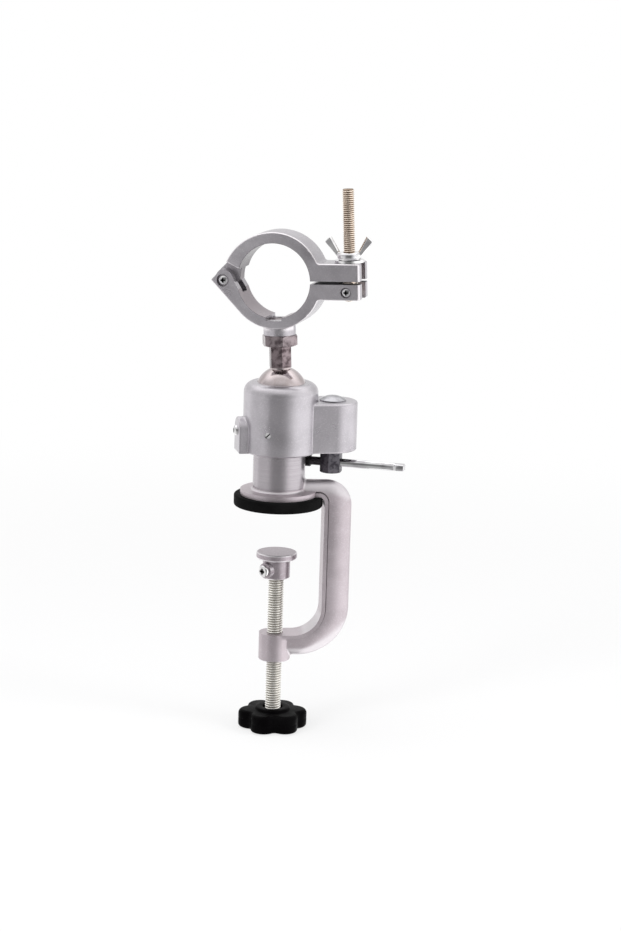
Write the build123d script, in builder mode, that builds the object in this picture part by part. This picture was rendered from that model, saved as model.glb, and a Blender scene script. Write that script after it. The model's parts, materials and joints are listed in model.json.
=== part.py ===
from build123d import *
import os
from math import acos, cos, hypot, radians, sin, sqrt

os.makedirs("parts", exist_ok=True)

# A ball vise on a bench clamp. Millimetres, +Z up along the post, +X toward the back of the
# C-frame, origin at the middle of the pad's underside, where the vise sits on a bench top.

# ---- Driving dimensions ----

run_gap = 0.08  # radial play of a turning or sliding fit
seat_gap = 0.03  # radial play of a fastener in its hole
face_gap = 0.05  # play between flat faces of pieces that move on each other

# C-frame
pad_r = 22.25
pad_thick = 5.5
plate_r = 19.15
plate_thick = 2.5
post_r = 13.0
post_top = 42.0
throat = 22.6  # post axis to the inner face of the frame's back
back = 36.9  # post axis to its outer face
arm_top = 13.1
jaw_floor = -66.0  # top of the spindle boss
arm_low = -77.5
flange_thick = 1.9
flange_half = 7.5
bead_half = 5.8
web_half = 5.0
groove_step = 0.5  # the crease between flange and bead
shoulder_r = 13.0  # outer corner at the top
heel_r = 25.0  # outer corner at the bottom
heel_in_r = 14.0
throat_r = 3.0  # inner corner under the plate
bead_round = 5.6  # nearly a full round
foot_round = 1.4  # where the post meets plate and arm
neck_round = 1.4  # where the arm meets the boss
boss_r = 7.95
boss_low = -79.9

# Spindle, pressure pad and knob
spindle_r = 4.0
spindle_top = -28.4
spindle_low = -113.2
jaw_top = -24.1  # top face of the pressure pad
jaw_r = 10.2
jaw_thick = 3.5
hub_r = 6.85
hub_low = -37.4
pad_screw_z = -32.8
pad_screw_turn = -138.0
knob_top = -106.3
knob_low = -115.5
knob_span = 34.8
lobe_r = 6.3
lobe_count = 6
knob_collar = 1.3
hollow_r = 3.0  # how the lobes run into each other

# Ball housing
housing_turn = 7.0
housing_r = 18.5
housing_low = 27.6
housing_top = 62.5
ball_r = 13.0
ball_z = 57.3
screw_z = 38.4  # the two retaining screws and the post's groove
groove_wide = 5.2
groove_deep = 1.5
lug_reach = 26.5
lug_r = 12.4
lug_low = 28.1
lug_top = 52.8
pocket_r = 9.5
pocket_top = 47.4
slot_half = 5.5
grub_turn = -114.5

# Locking gear
bolt_r = 3.0
nut_flats = 10.0
nut_low = 16.4
nut_top = 34.4
bar_z = 21.3
bar_r = 2.15
bar_turn = -19.3
bar_inner = 13.0  # bolt axis to each end of the bar
bar_outer = 37.5
lever_thick = 3.8
dome_half = 6.7  # the draw bolt's head
dome_rim = 0.5
dome_rise = 2.1

# Ball stud and ring clamp
head_turn = -21.5
head_lean = 3.0
stem_flats = 10.0
stud_r = 5.0
ring_rise = 56.3  # ball centre to ring centre
ring_r = 23.9
bore_r = 18.5
ring_half = 8.4
split_z = -0.6  # the split lies a little under the bore's middle
split_half = 0.7
ear_reach = 43.2
ear_top = 8.7
ear_low = -9.1
fork_half = 3.5
swing_x = 36.3
swing_z = -5.3
hinge_x = -26.1
hinge_corner = -32.2
pin_r = 2.0
swing_tip = 44.4

# ---- Planes ----


def shifted(base, x=0.0, y=0.0, z=0.0):
    """The base plane moved along its own axes."""
    return Plane(base.from_local_coords((x, y, z)), base.x_dir, base.z_dir)


def facing(base, turn, reach, height):
    """An upright plane that looks away from base's axis, reach from it."""
    spoke = base.rotated((0, 0, turn))
    centre = spoke.from_local_coords((reach, 0, height))
    return Plane(centre, spoke.y_dir, spoke.x_dir)


ground = Plane.XY
side = Plane.XZ
housing = ground.rotated((0, 0, housing_turn))
housing_side = Plane((0, 0, 0), housing.x_dir, -housing.y_dir)
lug = shifted(housing, x=lug_reach)
bar_line = lug.rotated((0, 0, bar_turn - housing_turn))
lean = radians(head_lean)
level_x = ground.rotated((0, 0, head_turn)).x_dir
head = Plane(
    (0, 0, ball_z),
    level_x * cos(lean) + Vector(0, 0, sin(lean)),
    Vector(0, 0, cos(lean)) - level_x * sin(lean),
)
ring = Plane(head.from_local_coords((0, 0, ring_rise)), head.x_dir, -head.y_dir)
swing = shifted(ring, x=swing_x, y=swing_z)
hinge = shifted(ring, x=hinge_x)
swing_axis = Plane(swing.origin, head.x_dir, head.z_dir)


def cross_recess(face, width):
    """The outline of a cross-head drive on a screw's head."""
    with BuildSketch(face) as cross:
        Rectangle(width, width * 0.26)
        Rectangle(width * 0.26, width)
    return cross.sketch


def turned_corners(base, flats, low, high):
    """Two small triangles which, revolved, bevel the corners of a hexagon's ends."""
    bite = flats * 0.12
    upright = Plane(base.origin, base.x_dir, -base.y_dir)
    with BuildSketch(upright) as bevels:
        for end, inward in ((low, 1), (high, -1)):
            with BuildLine():
                Polyline(
                    (flats / 2 - 0.1, end - inward * 0.1),
                    (flats / 2 + 2 * bite, end - inward * 0.1),
                    (flats / 2 + 2 * bite, end + inward * bite),
                    (flats / 2 - 0.1, end - inward * 0.1),
                )
            make_face()
    return bevels.sketch


# ---- C-frame: one casting of post, plate, T-section back and spindle boss ----


def c_run(top, corner, wall, heel, low):
    """The frame's C seen from the side: along the top, down the back, along the bottom."""
    with BuildLine(side) as run:
        Line((0, top), (wall - corner, top))
        CenterArc((wall - corner, top - corner), corner, 0, 90)
        Line((wall, top - corner), (wall, low + heel))
        CenterArc((wall - heel, low + heel), heel, -90, 90)
        Line((wall - heel, low), (0, low))
    return run.line


def inner_run(inset):
    """The C that lies this deep under the frame's inner face."""
    return c_run(
        pad_thick + inset, throat_r + inset, throat + inset, heel_in_r + inset, jaw_floor - inset
    )


def c_band(inner, outer):
    """The face between two C's, closed across their ends."""
    with BuildSketch(side) as band:
        with BuildLine():
            add(inner)
            add(outer)
            Line(inner @ 0, outer @ 0)
            Line(inner @ 1, outer @ 1)
        make_face()
    return band.sketch


def wall_joints(piece, radius, low, high):
    """The edges where other faces meet the upright wall of this radius, between two heights."""
    found = ShapeList()
    for edge in piece.edges():
        on_wall = all(abs(hypot(p.X, p.Y) - radius) < 0.01 for p in (edge @ 0, edge @ 0.5, edge @ 1))
        seam = edge.geom_type == GeomType.LINE and abs(edge.center().Y) < 0.01
        if on_wall and not seam and low < edge.center().Z < high:
            found.append(edge)
    return found


bead_in = inner_run(flange_thick + groove_step)
bead_out = c_run(arm_top, shoulder_r, back, heel_r, arm_low)

with BuildPart() as clamp_frame:
    # Bead: the rounded rib outside the flange, from the post round to the boss.
    extrude(c_band(bead_in, bead_out), amount=bead_half, both=True)
    rims = clamp_frame.edges().filter_by(
        lambda e: abs(abs(e.center().Y) - bead_half) < 0.01 and e.length > 5.5
    )
    outer_rims = rims.filter_by(lambda e: bead_out.distance_to(e.center()) < bead_half + 0.1)
    fillet(outer_rims, radius=bead_round)
    # Plate and post, which run into the bead.
    with BuildSketch(ground.offset(pad_thick)):
        Circle(plate_r)
    extrude(amount=plate_thick)
    with BuildSketch(ground.offset(pad_thick)):
        Circle(post_r)
    extrude(amount=post_top - pad_thick)
    fillet(wall_joints(clamp_frame, post_r, pad_thick + 1, arm_top + 0.5), radius=foot_round)
    # Spindle boss, which runs into the bead too.
    with BuildSketch(ground.offset(boss_low)):
        Circle(boss_r)
    extrude(amount=jaw_floor - boss_low)
    fillet(wall_joints(clamp_frame, boss_r, boss_low + 1, jaw_floor - 1), radius=neck_round)
    # Web: the narrow neck that leaves a crease between bead and flange. Flange: the flat strip.
    extrude(
        c_band(inner_run(flange_thick / 2), inner_run(flange_thick + groove_step + 1)),
        amount=web_half,
        both=True,
    )
    extrude(c_band(inner_run(0), inner_run(flange_thick)), amount=flange_half, both=True)
    fillet(clamp_frame.edges().sort_by(Axis.Z)[-1], radius=0.5)
    fillet(clamp_frame.edges().sort_by(Axis.Z)[0], radius=0.6)
    # Groove for the retaining screws.
    with BuildSketch(ground.offset(screw_z - groove_wide / 2)):
        Circle(post_r + 1)
        Circle(post_r - groove_deep, mode=Mode.SUBTRACT)
    extrude(amount=groove_wide, mode=Mode.SUBTRACT)
    with BuildSketch(ground.offset(boss_low)):
        Circle(spindle_r + run_gap)
    extrude(amount=jaw_floor - boss_low, mode=Mode.SUBTRACT)
    # The rubber pad is let into the corner under the plate.
    with BuildSketch(ground):
        Circle(pad_r + 0.1)
    extrude(amount=pad_thick, mode=Mode.SUBTRACT)
clamp_frame.part.label = "clamp_frame"
export_step(clamp_frame.part, "parts/clamp_frame.step")

with BuildPart() as bench_pad:
    with BuildSketch(ground):
        Circle(pad_r)
    extrude(amount=pad_thick)
    chamfer(bench_pad.edges(), length=0.4)
bench_pad.part.label = "bench_pad"
export_step(bench_pad.part, "parts/bench_pad.step")

# ---- Screw feed: pressure pad, its retaining screw, spindle and knob ----

pad_screw_face = facing(ground, pad_screw_turn, 0, pad_screw_z)

with BuildPart() as pressure_pad:
    with BuildSketch(ground.offset(jaw_top - jaw_thick)):
        Circle(jaw_r)
    extrude(amount=jaw_thick)
    fillet(pressure_pad.edges().sort_by(Axis.Z)[-1], radius=0.8)
    fillet(pressure_pad.edges().sort_by(Axis.Z)[0], radius=1.2)
    with BuildSketch(ground.offset(hub_low)):
        Circle(hub_r)
    extrude(amount=jaw_top - jaw_thick - hub_low + 0.5)
    chamfer(pressure_pad.edges().sort_by(Axis.Z)[0], length=0.5)
    with BuildSketch(pad_screw_face):
        Circle(3.9)
    extrude(amount=hub_r + 1.5)
    with BuildSketch(ground.offset(hub_low)):
        Circle(spindle_r + run_gap)
    extrude(amount=spindle_top + 0.2 - hub_low, mode=Mode.SUBTRACT)
    with BuildSketch(pad_screw_face):
        Circle(1.5 + seat_gap)
    extrude(amount=hub_r + 2, mode=Mode.SUBTRACT)
pressure_pad.part.label = "pressure_pad"
export_step(pressure_pad.part, "parts/pressure_pad.step")

with BuildPart() as pad_screw:
    with BuildSketch(pad_screw_face.offset(3.4)):
        Circle(1.5)
    extrude(amount=hub_r + 1.5 - 3.4)
    with BuildSketch(pad_screw_face.offset(hub_r + 1.5)):
        Circle(3.1)
    extrude(amount=2.2)
    fillet(pad_screw.edges().filter_by(GeomType.CIRCLE).sort_by(SortBy.DISTANCE)[-1], radius=1.2)
    extrude(cross_recess(pad_screw_face.offset(hub_r + 3.7), 3.2), amount=-1.2, mode=Mode.SUBTRACT)
pad_screw.part.label = "pad_screw"
export_step(pad_screw.part, "parts/pad_screw.step")

with BuildPart() as spindle:
    with BuildSketch(ground.offset(spindle_low)):
        Circle(spindle_r)
    extrude(amount=spindle_top - spindle_low)
    chamfer(spindle.edges().sort_by(Axis.Z)[-1], length=0.6)
    with BuildSketch(ground.offset(pad_screw_z - 2.1)):
        Circle(spindle_r + 1)
        Circle(spindle_r - 0.9, mode=Mode.SUBTRACT)
    extrude(amount=4.2, mode=Mode.SUBTRACT)
spindle.part.label = "spindle"
export_step(spindle.part, "parts/spindle.step")

lobe_ring = knob_span / 2 - lobe_r

with BuildPart() as knob:
    # Six lobes with shallow hollows between them, a hollow facing the viewer.
    with BuildSketch(ground.offset(knob_low)):
        Circle(lobe_ring)
        with PolarLocations(lobe_ring, lobe_count, start_angle=-60):
            Circle(lobe_r)
    extrude(amount=knob_top - knob_low)
    fillet(knob.edges().filter_by(Axis.Z).filter_by(lambda e: e.length > 1), radius=hollow_r)
    rims = knob.edges().group_by(Axis.Z)
    fillet(rims[-1], radius=2.2)
    fillet(rims[0], radius=1.6)
    with BuildSketch(ground.offset(knob_top)):
        Circle(8.75)
    extrude(amount=knob_collar)
    fillet(knob.edges().group_by(Axis.Z)[-1], radius=0.8)
    with BuildSketch(ground.offset(knob_top + knob_collar)):
        Circle(5.0)
    extrude(amount=-2.6, mode=Mode.SUBTRACT)
    with BuildSketch(ground.offset(spindle_low)):
        Circle(spindle_r + seat_gap)
    extrude(amount=knob_top - spindle_low, mode=Mode.SUBTRACT)
knob.part.label = "knob"
export_step(knob.part, "parts/knob.step")

# ---- Ball housing with its lug, the two retaining screws and the draw bolt ----

boss_face = facing(housing, 180, 0, screw_z)
grub_face = facing(ground, grub_turn, 0, screw_z)
boss_end = 21.9
boss_half = 6.2
arch_rise = 0.6  # the arch's centre above the screw
dog_tip = 11.9

shoulder = 5.0

with BuildPart() as ball_housing:
    with BuildSketch(lug.offset(lug_low)):
        Circle(lug_r)
        with Locations((-lug_reach / 2, 0)):
            Rectangle(lug_reach, 2 * lug_r)
    extrude(amount=lug_top - lug_low)
    fillet(ball_housing.edges().group_by(Axis.Z)[-1], radius=1.2)
    fillet(ball_housing.edges().group_by(Axis.Z)[0], radius=0.8)
    # Barrel, with its rounded shoulder.
    with BuildSketch(side):
        with BuildLine():
            Polyline(
                (0, housing_top), (0, housing_low), (housing_r - 0.6, housing_low),
                (housing_r, housing_low + 0.6), (housing_r, housing_top - shoulder),
            )
            RadiusArc((housing_r, housing_top - shoulder), (housing_r - shoulder, housing_top), -shoulder)
            Line((housing_r - shoulder, housing_top), (0, housing_top))
        make_face()
    revolve(axis=Axis.Z)
    # Screw boss opposite the lug: flat bottom, arched top.
    with BuildSketch(boss_face.offset(housing_r / 2)):
        with Locations((0, arch_rise)):
            Circle(boss_half)
        with Locations((0, (arch_rise + housing_low - screw_z) / 2)):
            Rectangle(2 * boss_half, arch_rise + screw_z - housing_low)
    extrude(amount=boss_end - housing_r / 2)
    boss_rim = ball_housing.edges().group_by(Axis(ground.origin, boss_face.z_dir))[-1]
    fillet(boss_rim, radius=0.7)
    fillet(wall_joints(ball_housing, housing_r, housing_low + 1, housing_top), radius=0.8)
    # Bore from below, up to the equator of the ball, then the spherical socket.
    with BuildSketch(ground.offset(housing_low)):
        Circle(post_r + run_gap)
    extrude(amount=ball_z - housing_low, mode=Mode.SUBTRACT)
    with Locations((0, 0, ball_z)):
        Sphere(ball_r + run_gap, mode=Mode.SUBTRACT)
    # Pocket of the locking gear, and the slot that joins it to the bore.
    with BuildSketch(lug.offset(lug_low)):
        Circle(pocket_r)
        with Locations((-lug_reach / 2, 0)):
            Rectangle(lug_reach, 2 * slot_half)
    extrude(amount=pocket_top - lug_low, mode=Mode.SUBTRACT)
    with BuildSketch(lug.offset(pocket_top)):
        Rectangle(2 * bolt_r + 0.1, 2 * bolt_r + 0.1)
    extrude(amount=lug_top - pocket_top, mode=Mode.SUBTRACT)
    with BuildSketch(boss_face):
        Circle(2 + seat_gap)
    extrude(amount=boss_end, mode=Mode.SUBTRACT)
    with BuildSketch(grub_face):
        Circle(1.5 + seat_gap)
    extrude(amount=housing_r + 1, mode=Mode.SUBTRACT)
ball_housing.part.label = "ball_housing"
export_step(ball_housing.part, "parts/ball_housing.step")

with BuildPart() as boss_screw:
    with BuildSketch(boss_face.offset(dog_tip)):
        Circle(2)
    extrude(amount=boss_end - dog_tip)
    with BuildSketch(boss_face.offset(boss_end)):
        Circle(2.7)
    extrude(amount=1.6)
    fillet(boss_screw.edges().filter_by(GeomType.CIRCLE).sort_by(SortBy.DISTANCE)[-1], radius=1.4)
    with BuildSketch(boss_face.offset(boss_end + 1.6)):
        RegularPolygon(1.1, 6)
    extrude(amount=-1.0, mode=Mode.SUBTRACT)
boss_screw.part.label = "boss_screw"
export_step(boss_screw.part, "parts/boss_screw.step")

with BuildPart() as grub_screw:
    with BuildSketch(grub_face.offset(dog_tip)):
        Circle(1.5)
    extrude(amount=housing_r - 0.5 - dog_tip)
    with BuildSketch(grub_face.offset(housing_r - 0.5)):
        Rectangle(4, 0.6, rotation=45)
    extrude(amount=-0.8, mode=Mode.SUBTRACT)
grub_screw.part.label = "grub_screw"
export_step(grub_screw.part, "parts/grub_screw.step")

bolt_low = bar_z + 3.6

# The bolt's head is a shallow dome on a thin rim.
dome_foot = lug_top + dome_rim
dome_r = (dome_half**2 + dome_rise**2) / (2 * dome_rise)
dome_mid = dome_half / 2
dome_mid_z = dome_foot + dome_rise - dome_r + sqrt(dome_r**2 - dome_mid**2)

with BuildPart() as draw_bolt:
    with BuildSketch(Plane(lug.origin, lug.x_dir, -lug.y_dir)):
        with BuildLine():
            Polyline(
                (0, dome_foot + dome_rise), (0, lug_top), (dome_half, lug_top), (dome_half, dome_foot)
            )
            ThreePointArc(
                (dome_half, dome_foot), (dome_mid, dome_mid_z), (0, dome_foot + dome_rise)
            )
        make_face()
    revolve(axis=Axis(lug.origin, lug.z_dir))
    with BuildSketch(lug.offset(lug_top - 2.8)):
        Rectangle(2 * bolt_r, 2 * bolt_r)
    extrude(amount=2.8)
    with BuildSketch(lug.offset(bolt_low)):
        Circle(bolt_r)
    extrude(amount=lug_top - 2.8 - bolt_low)
    chamfer(draw_bolt.edges().sort_by(Axis.Z)[0], length=0.5)
draw_bolt.part.label = "draw_bolt"
export_step(draw_bolt.part, "parts/draw_bolt.step")

# ---- Locking gear: coupling nut, tommy bar, washer, rocker lever and ball seat ----

with BuildPart() as coupling_nut:
    with BuildSketch(bar_line.offset(nut_low)):
        RegularPolygon(nut_flats / 2, 6, major_radius=False, rotation=30)
    extrude(amount=nut_top - nut_low)
    revolve(
        turned_corners(bar_line, nut_flats, nut_low, nut_top),
        axis=Axis(bar_line.origin, bar_line.z_dir),
        mode=Mode.SUBTRACT,
    )
    with BuildSketch(bar_line.offset(bolt_low - 0.8)):
        Circle(bolt_r + run_gap)
    extrude(amount=nut_top - bolt_low + 0.8, mode=Mode.SUBTRACT)
    with BuildSketch(facing(bar_line, 0, -nut_flats, bar_z)):
        Circle(bar_r + run_gap)
    extrude(amount=2 * nut_flats, mode=Mode.SUBTRACT)
coupling_nut.part.label = "coupling_nut"
export_step(coupling_nut.part, "parts/coupling_nut.step")

bar_head = 5.0

with BuildPart() as tommy_bar:
    # The far end is upset into a flat head that can't slip through the nut.
    with BuildSketch(facing(bar_line, 0, bar_outer - bar_head, bar_z)):
        RectangleRounded(5.2, 3.6, radius=1.5)
    extrude(amount=bar_head)
    fillet(tommy_bar.faces().sort_by(Axis(bar_line.origin, bar_line.x_dir))[-1].edges(), radius=0.6)
    with BuildSketch(facing(bar_line, 0, -bar_inner, bar_z)):
        Circle(bar_r)
    extrude(amount=bar_inner + bar_outer - bar_head)
tommy_bar.part.label = "tommy_bar"
export_step(tommy_bar.part, "parts/tommy_bar.step")

with BuildPart() as bar_cap:
    with BuildSketch(facing(bar_line, 0, -bar_inner - 0.6, bar_z)):
        Circle(3)
    extrude(amount=3.4)
    fillet(bar_cap.edges().filter_by(GeomType.CIRCLE), radius=0.7)
    with BuildSketch(facing(bar_line, 0, -bar_inner, bar_z)):
        Circle(bar_r + seat_gap)
    extrude(amount=3.4, mode=Mode.SUBTRACT)
bar_cap.part.label = "bar_cap"
export_step(bar_cap.part, "parts/bar_cap.step")

washer_low = nut_top + face_gap
washer_top = washer_low + 1.0
lever_low = washer_top + 0.1

with BuildPart() as lock_washer:
    with BuildSketch(lug.offset(washer_low)):
        Circle(6)
        Circle(bolt_r + run_gap, mode=Mode.SUBTRACT)
    extrude(amount=washer_top - washer_low)
lock_washer.part.label = "lock_washer"
export_step(lock_washer.part, "parts/lock_washer.step")

seat_low = ball_z - 11.0
seat_top = ball_z - 5.3
lever_top = seat_low - 0.1
heel_reach = 12.4

with BuildPart() as rocker_lever:
    # Ring between post and seat, then an arm that cranks down through the wall to the washer.
    with BuildSketch(ground.offset(lever_top - lever_thick)):
        Circle(heel_reach)
    extrude(amount=lever_thick)
    with BuildSketch(housing_side):
        with BuildLine():
            Polyline(
                (9.5, lever_top - lever_thick), (14.2, lever_top - lever_thick), (17.6, lever_low),
                (32.0, lever_low), (32.0, lever_low + 4), (19.8, lever_low + 4),
                (16.6, lever_top), (9.5, lever_top), (9.5, lever_top - lever_thick),
            )
        make_face()
    extrude(amount=5, both=True)
    tip_edges = rocker_lever.edges().filter_by(Axis.Z).sort_by(Axis(lug.origin, lug.x_dir))
    fillet(tip_edges[-2:], radius=3)
    # Heel: the raised edge that bears on the post.
    with BuildSketch(housing.offset(post_top + face_gap)):
        with Locations((-10.2, 0)):
            Rectangle(3.2, 9)
    extrude(amount=1)
    with BuildSketch(ground.offset(post_top)):
        Circle(8.2)
    extrude(amount=6, mode=Mode.SUBTRACT)
    with BuildSketch(lug.offset(lever_low)):
        SlotOverall(8.4, 7.2)
    extrude(amount=5, mode=Mode.SUBTRACT)
rocker_lever.part.label = "rocker_lever"
export_step(rocker_lever.part, "parts/rocker_lever.step")

with BuildPart() as ball_seat:
    with BuildSketch(ground.offset(seat_low)):
        Circle(post_r)
    extrude(amount=seat_top - seat_low)
    with Locations((0, 0, ball_z)):
        Sphere(ball_r + run_gap, mode=Mode.SUBTRACT)
ball_seat.part.label = "ball_seat"
export_step(ball_seat.part, "parts/ball_seat.step")

# ---- Ball stud and lock nut ----

stem_low = 10.5
stem_r = 5.3
hex_low = 12.6
lock_low = 23.4
lock_top = 28.9
lock_flats = 16.0
thread_end = ring_rise - bore_r - 1.5
hex_turn = -4.5
head_axis = Axis(head.origin, head.z_dir)

with BuildPart() as ball_stud:
    with Locations((0, 0, ball_z)):
        Sphere(ball_r)
    with BuildSketch(head.offset(stem_low)):
        Circle(stem_r)
    extrude(amount=hex_low - stem_low)
    with BuildSketch(head.offset(hex_low)):
        RegularPolygon(stem_flats / 2, 6, major_radius=False, rotation=hex_turn)
    extrude(amount=lock_low - hex_low)
    with BuildSketch(head.offset(lock_low)):
        Circle(stud_r)
    extrude(amount=thread_end - lock_low)
    chamfer(ball_stud.edges().sort_by(head_axis)[-1], length=0.7)
ball_stud.part.label = "ball_stud"
export_step(ball_stud.part, "parts/ball_stud.step")

with BuildPart() as lock_nut:
    with BuildSketch(head.offset(lock_low)):
        RegularPolygon(lock_flats / 2, 6, major_radius=False, rotation=hex_turn)
    extrude(amount=lock_top - lock_low)
    revolve(
        turned_corners(head, lock_flats, lock_low, lock_top),
        axis=head_axis,
        mode=Mode.SUBTRACT,
    )
    with BuildSketch(head.offset(lock_low)):
        Circle(stud_r + seat_gap)
    extrude(amount=lock_top - lock_low, mode=Mode.SUBTRACT)
lock_nut.part.label = "lock_nut"
export_step(lock_nut.part, "parts/lock_nut.step")

# ---- Ring clamp: two halves, hinge pin, swing bolt with pin, washer and wing nut ----

neck_low = lock_top + face_gap
lower_top = split_z - split_half
upper_low = split_z + split_half
cheek_r = 5.5
knuckle_r = 5.3
slot_floor = -6.3
fork_back = 5.4  # swing bolt's axis to the closed end of its fork
corner = (hinge_corner, 0)
tangent_angle = radians(180) + acos(ring_r / -hinge_corner)
tangent_point = (ring_r * cos(tangent_angle), ring_r * sin(tangent_angle))
# The bevel through the corner runs at 45 degrees and ends on the cheek's round top.
bevel_reach = (hinge_x - hinge_corner) * sqrt(0.5)
bevel_run = sqrt(cheek_r**2 - bevel_reach**2) - bevel_reach
bevel_top = (hinge_x + bevel_run * sqrt(0.5), (2 * bevel_reach + bevel_run) * sqrt(0.5))
cheek_front = (hinge_x + cheek_r, 0)
cheek_foot = (-17.87, -4.8)  # where the cheek's inner edge meets the bore
# The upper half ends above the cheeks on a slanted face between these two points.
relief_out = (-24.2, 9.1)
relief_in = (-17.2, 5.3)


def ear_root(height):
    """Where the ring's outside meets the ear's face at this height."""
    return (sqrt(ring_r**2 - height**2), height)


def ear_corners(piece):
    """The four upright edges at the ear's end."""
    upright = piece.edges().filter_by(Axis(ring.origin, ring.y_dir))
    return upright.filter_by(lambda e: ring.to_local_coords(e.center()).X > ear_reach - 0.01)


def outer_rims(piece, low, high):
    """The edges of a half's front and back faces between two heights, outside the bore."""
    rims = ShapeList()
    for edge in piece.edges():
        at = ring.to_local_coords(edge.center())
        on_face = abs(abs(at.Z) - ring_half) < 0.01
        if on_face and low < at.Y < high and hypot(at.X, at.Y) > bore_r + 1.5:
            rims.append(edge)
    return rims


with BuildPart() as clamp_lower:
    with BuildSketch(ring):
        Circle(ring_r)
        with Locations((0, ring_r + lower_top)):
            Rectangle(3 * ring_r, 2 * ring_r, mode=Mode.SUBTRACT)
        with Locations(((ear_reach + 19) / 2, (lower_top + ear_low) / 2)):
            Rectangle(ear_reach - 19, lower_top - ear_low)
        fillet(vertices().sort_by_distance(ear_root(ear_low))[0], radius=1.5)
    extrude(amount=ring_half, both=True)
    fillet(ear_corners(clamp_lower), radius=1.5)
    # Cheeks: the corner, the bevel, the round over the pin, the inner edge and the tangent below.
    with BuildSketch(ring):
        with BuildLine():
            Line(corner, bevel_top)
            ThreePointArc(
                bevel_top,
                (hinge_x + cheek_r * sqrt(0.5), cheek_r * sqrt(0.5)),
                cheek_front,
            )
            Polyline(cheek_front, cheek_foot, tangent_point, corner)
        make_face()
    extrude(amount=ring_half, both=True)
    with BuildSketch(ring):
        with BuildLine():
            Polyline(cheek_front, (0, 0), (0, -4.8), cheek_foot, cheek_front)
        make_face()
    extrude(amount=ring_half, both=True, mode=Mode.SUBTRACT)
    fillet(outer_rims(clamp_lower, -2 * ring_r, lower_top - 0.1), radius=0.8)
    # Neck down to the lock nut.
    with BuildSketch(head.offset(neck_low)):
        Circle(8)
    extrude(amount=ring_rise - bore_r - 1 - neck_low)
    with BuildSketch(ring):
        Circle(bore_r)
        with Locations((-0.6, -bore_r)):
            Rectangle(8, 2.4)
    extrude(amount=ring_half, both=True, mode=Mode.SUBTRACT)
    with BuildSketch(head.offset(neck_low)):
        Circle(stud_r + run_gap)
    extrude(amount=ring_rise - bore_r - neck_low, mode=Mode.SUBTRACT)
    # Fork for the swing bolt, and the slot for the knuckle.
    with BuildSketch(ring):
        with Locations((ear_reach, 0)):
            Rectangle(2 * (ear_reach - swing_x + fork_back), 3 * ear_top)
        with Locations((hinge_x, (slot_floor + cheek_r + 1) / 2)):
            Rectangle(18, cheek_r + 1 - slot_floor)
    extrude(amount=fork_half, both=True, mode=Mode.SUBTRACT)
    with BuildSketch(ring):
        with Locations((swing_x, swing_z), (hinge_x, 0)):
            Circle(pin_r + seat_gap)
    extrude(amount=ring_half, both=True, mode=Mode.SUBTRACT)
    with BuildSketch(ring.offset(ring_half)):
        with Locations((swing_x, swing_z)):
            Circle(2.6)
        with Locations((hinge_x, 0)):
            Circle(3.1)
    extrude(amount=-1.4, mode=Mode.SUBTRACT)
clamp_lower.part.label = "clamp_lower"
export_step(clamp_lower.part, "parts/clamp_lower.step")

with BuildPart() as clamp_upper:
    # Over the hinge the outside swells past the ring's radius.
    with BuildSketch(ring):
        with BuildLine():
            Polyline((ear_reach, upper_low), (ear_reach, ear_top), ear_root(ear_top))
            ThreePointArc(
                ear_root(ear_top), (ring_r * sin(radians(30)), ring_r * cos(radians(30))), (0, ring_r)
            )
            TangentArc((0, ring_r), relief_out, tangent=(-1, 0))
            Polyline(relief_out, relief_in, (0, upper_low), (ear_reach, upper_low))
        make_face()
        fillet(vertices().sort_by_distance(ear_root(ear_top))[0], radius=1.5)
    extrude(amount=ring_half, both=True)
    fillet(ear_corners(clamp_upper), radius=1.5)
    fillet(outer_rims(clamp_upper, upper_low + 0.1, 2 * ring_r), radius=0.8)
    # Knuckle between the lower half's cheeks.
    with BuildSketch(ring):
        with Locations((hinge_x, 0)):
            Circle(knuckle_r)
        with BuildLine():
            Polyline(
                (hinge_x - 4.1, 3.36), relief_out, relief_in, (-bore_r, upper_low),
                (hinge_x + 3.9, -3.59), (hinge_x - 4.1, 3.36),
            )
        make_face()
    extrude(amount=fork_half - 0.15, both=True)
    with BuildSketch(ring):
        Circle(bore_r)
    extrude(amount=ring_half, both=True, mode=Mode.SUBTRACT)
    with BuildSketch(ring):
        with Locations((ear_reach, 0)):
            Rectangle(2 * (ear_reach - swing_x + fork_back - 0.4), 3 * ear_top)
    extrude(amount=fork_half, both=True, mode=Mode.SUBTRACT)
    with BuildSketch(hinge):
        Circle(pin_r + run_gap)
    extrude(amount=ring_half, both=True, mode=Mode.SUBTRACT)
clamp_upper.part.label = "clamp_upper"
export_step(clamp_upper.part, "parts/clamp_upper.step")

for pin_name, pin_plane, pin_head in (("hinge_pin", hinge, 2.5), ("swing_pin", swing, 2.2)):
    with BuildPart() as pin:
        with BuildSketch(pin_plane.offset(-ring_half + 0.2)):
            Circle(pin_r)
        extrude(amount=2 * ring_half - 1.5)
        with BuildSketch(pin_plane.offset(ring_half - 1.3)):
            Circle(pin_head)
        extrude(amount=1.2)
        pin_rims = pin.edges().filter_by(GeomType.CIRCLE).sort_by(Axis(ring.origin, ring.z_dir))
        fillet(pin_rims[-1], radius=0.4)
        extrude(
            cross_recess(pin_plane.offset(ring_half - 0.1), 2.6), amount=-0.9, mode=Mode.SUBTRACT
        )
    pin.part.label = pin_name
    export_step(pin.part, f"parts/{pin_name}.step")

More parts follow.
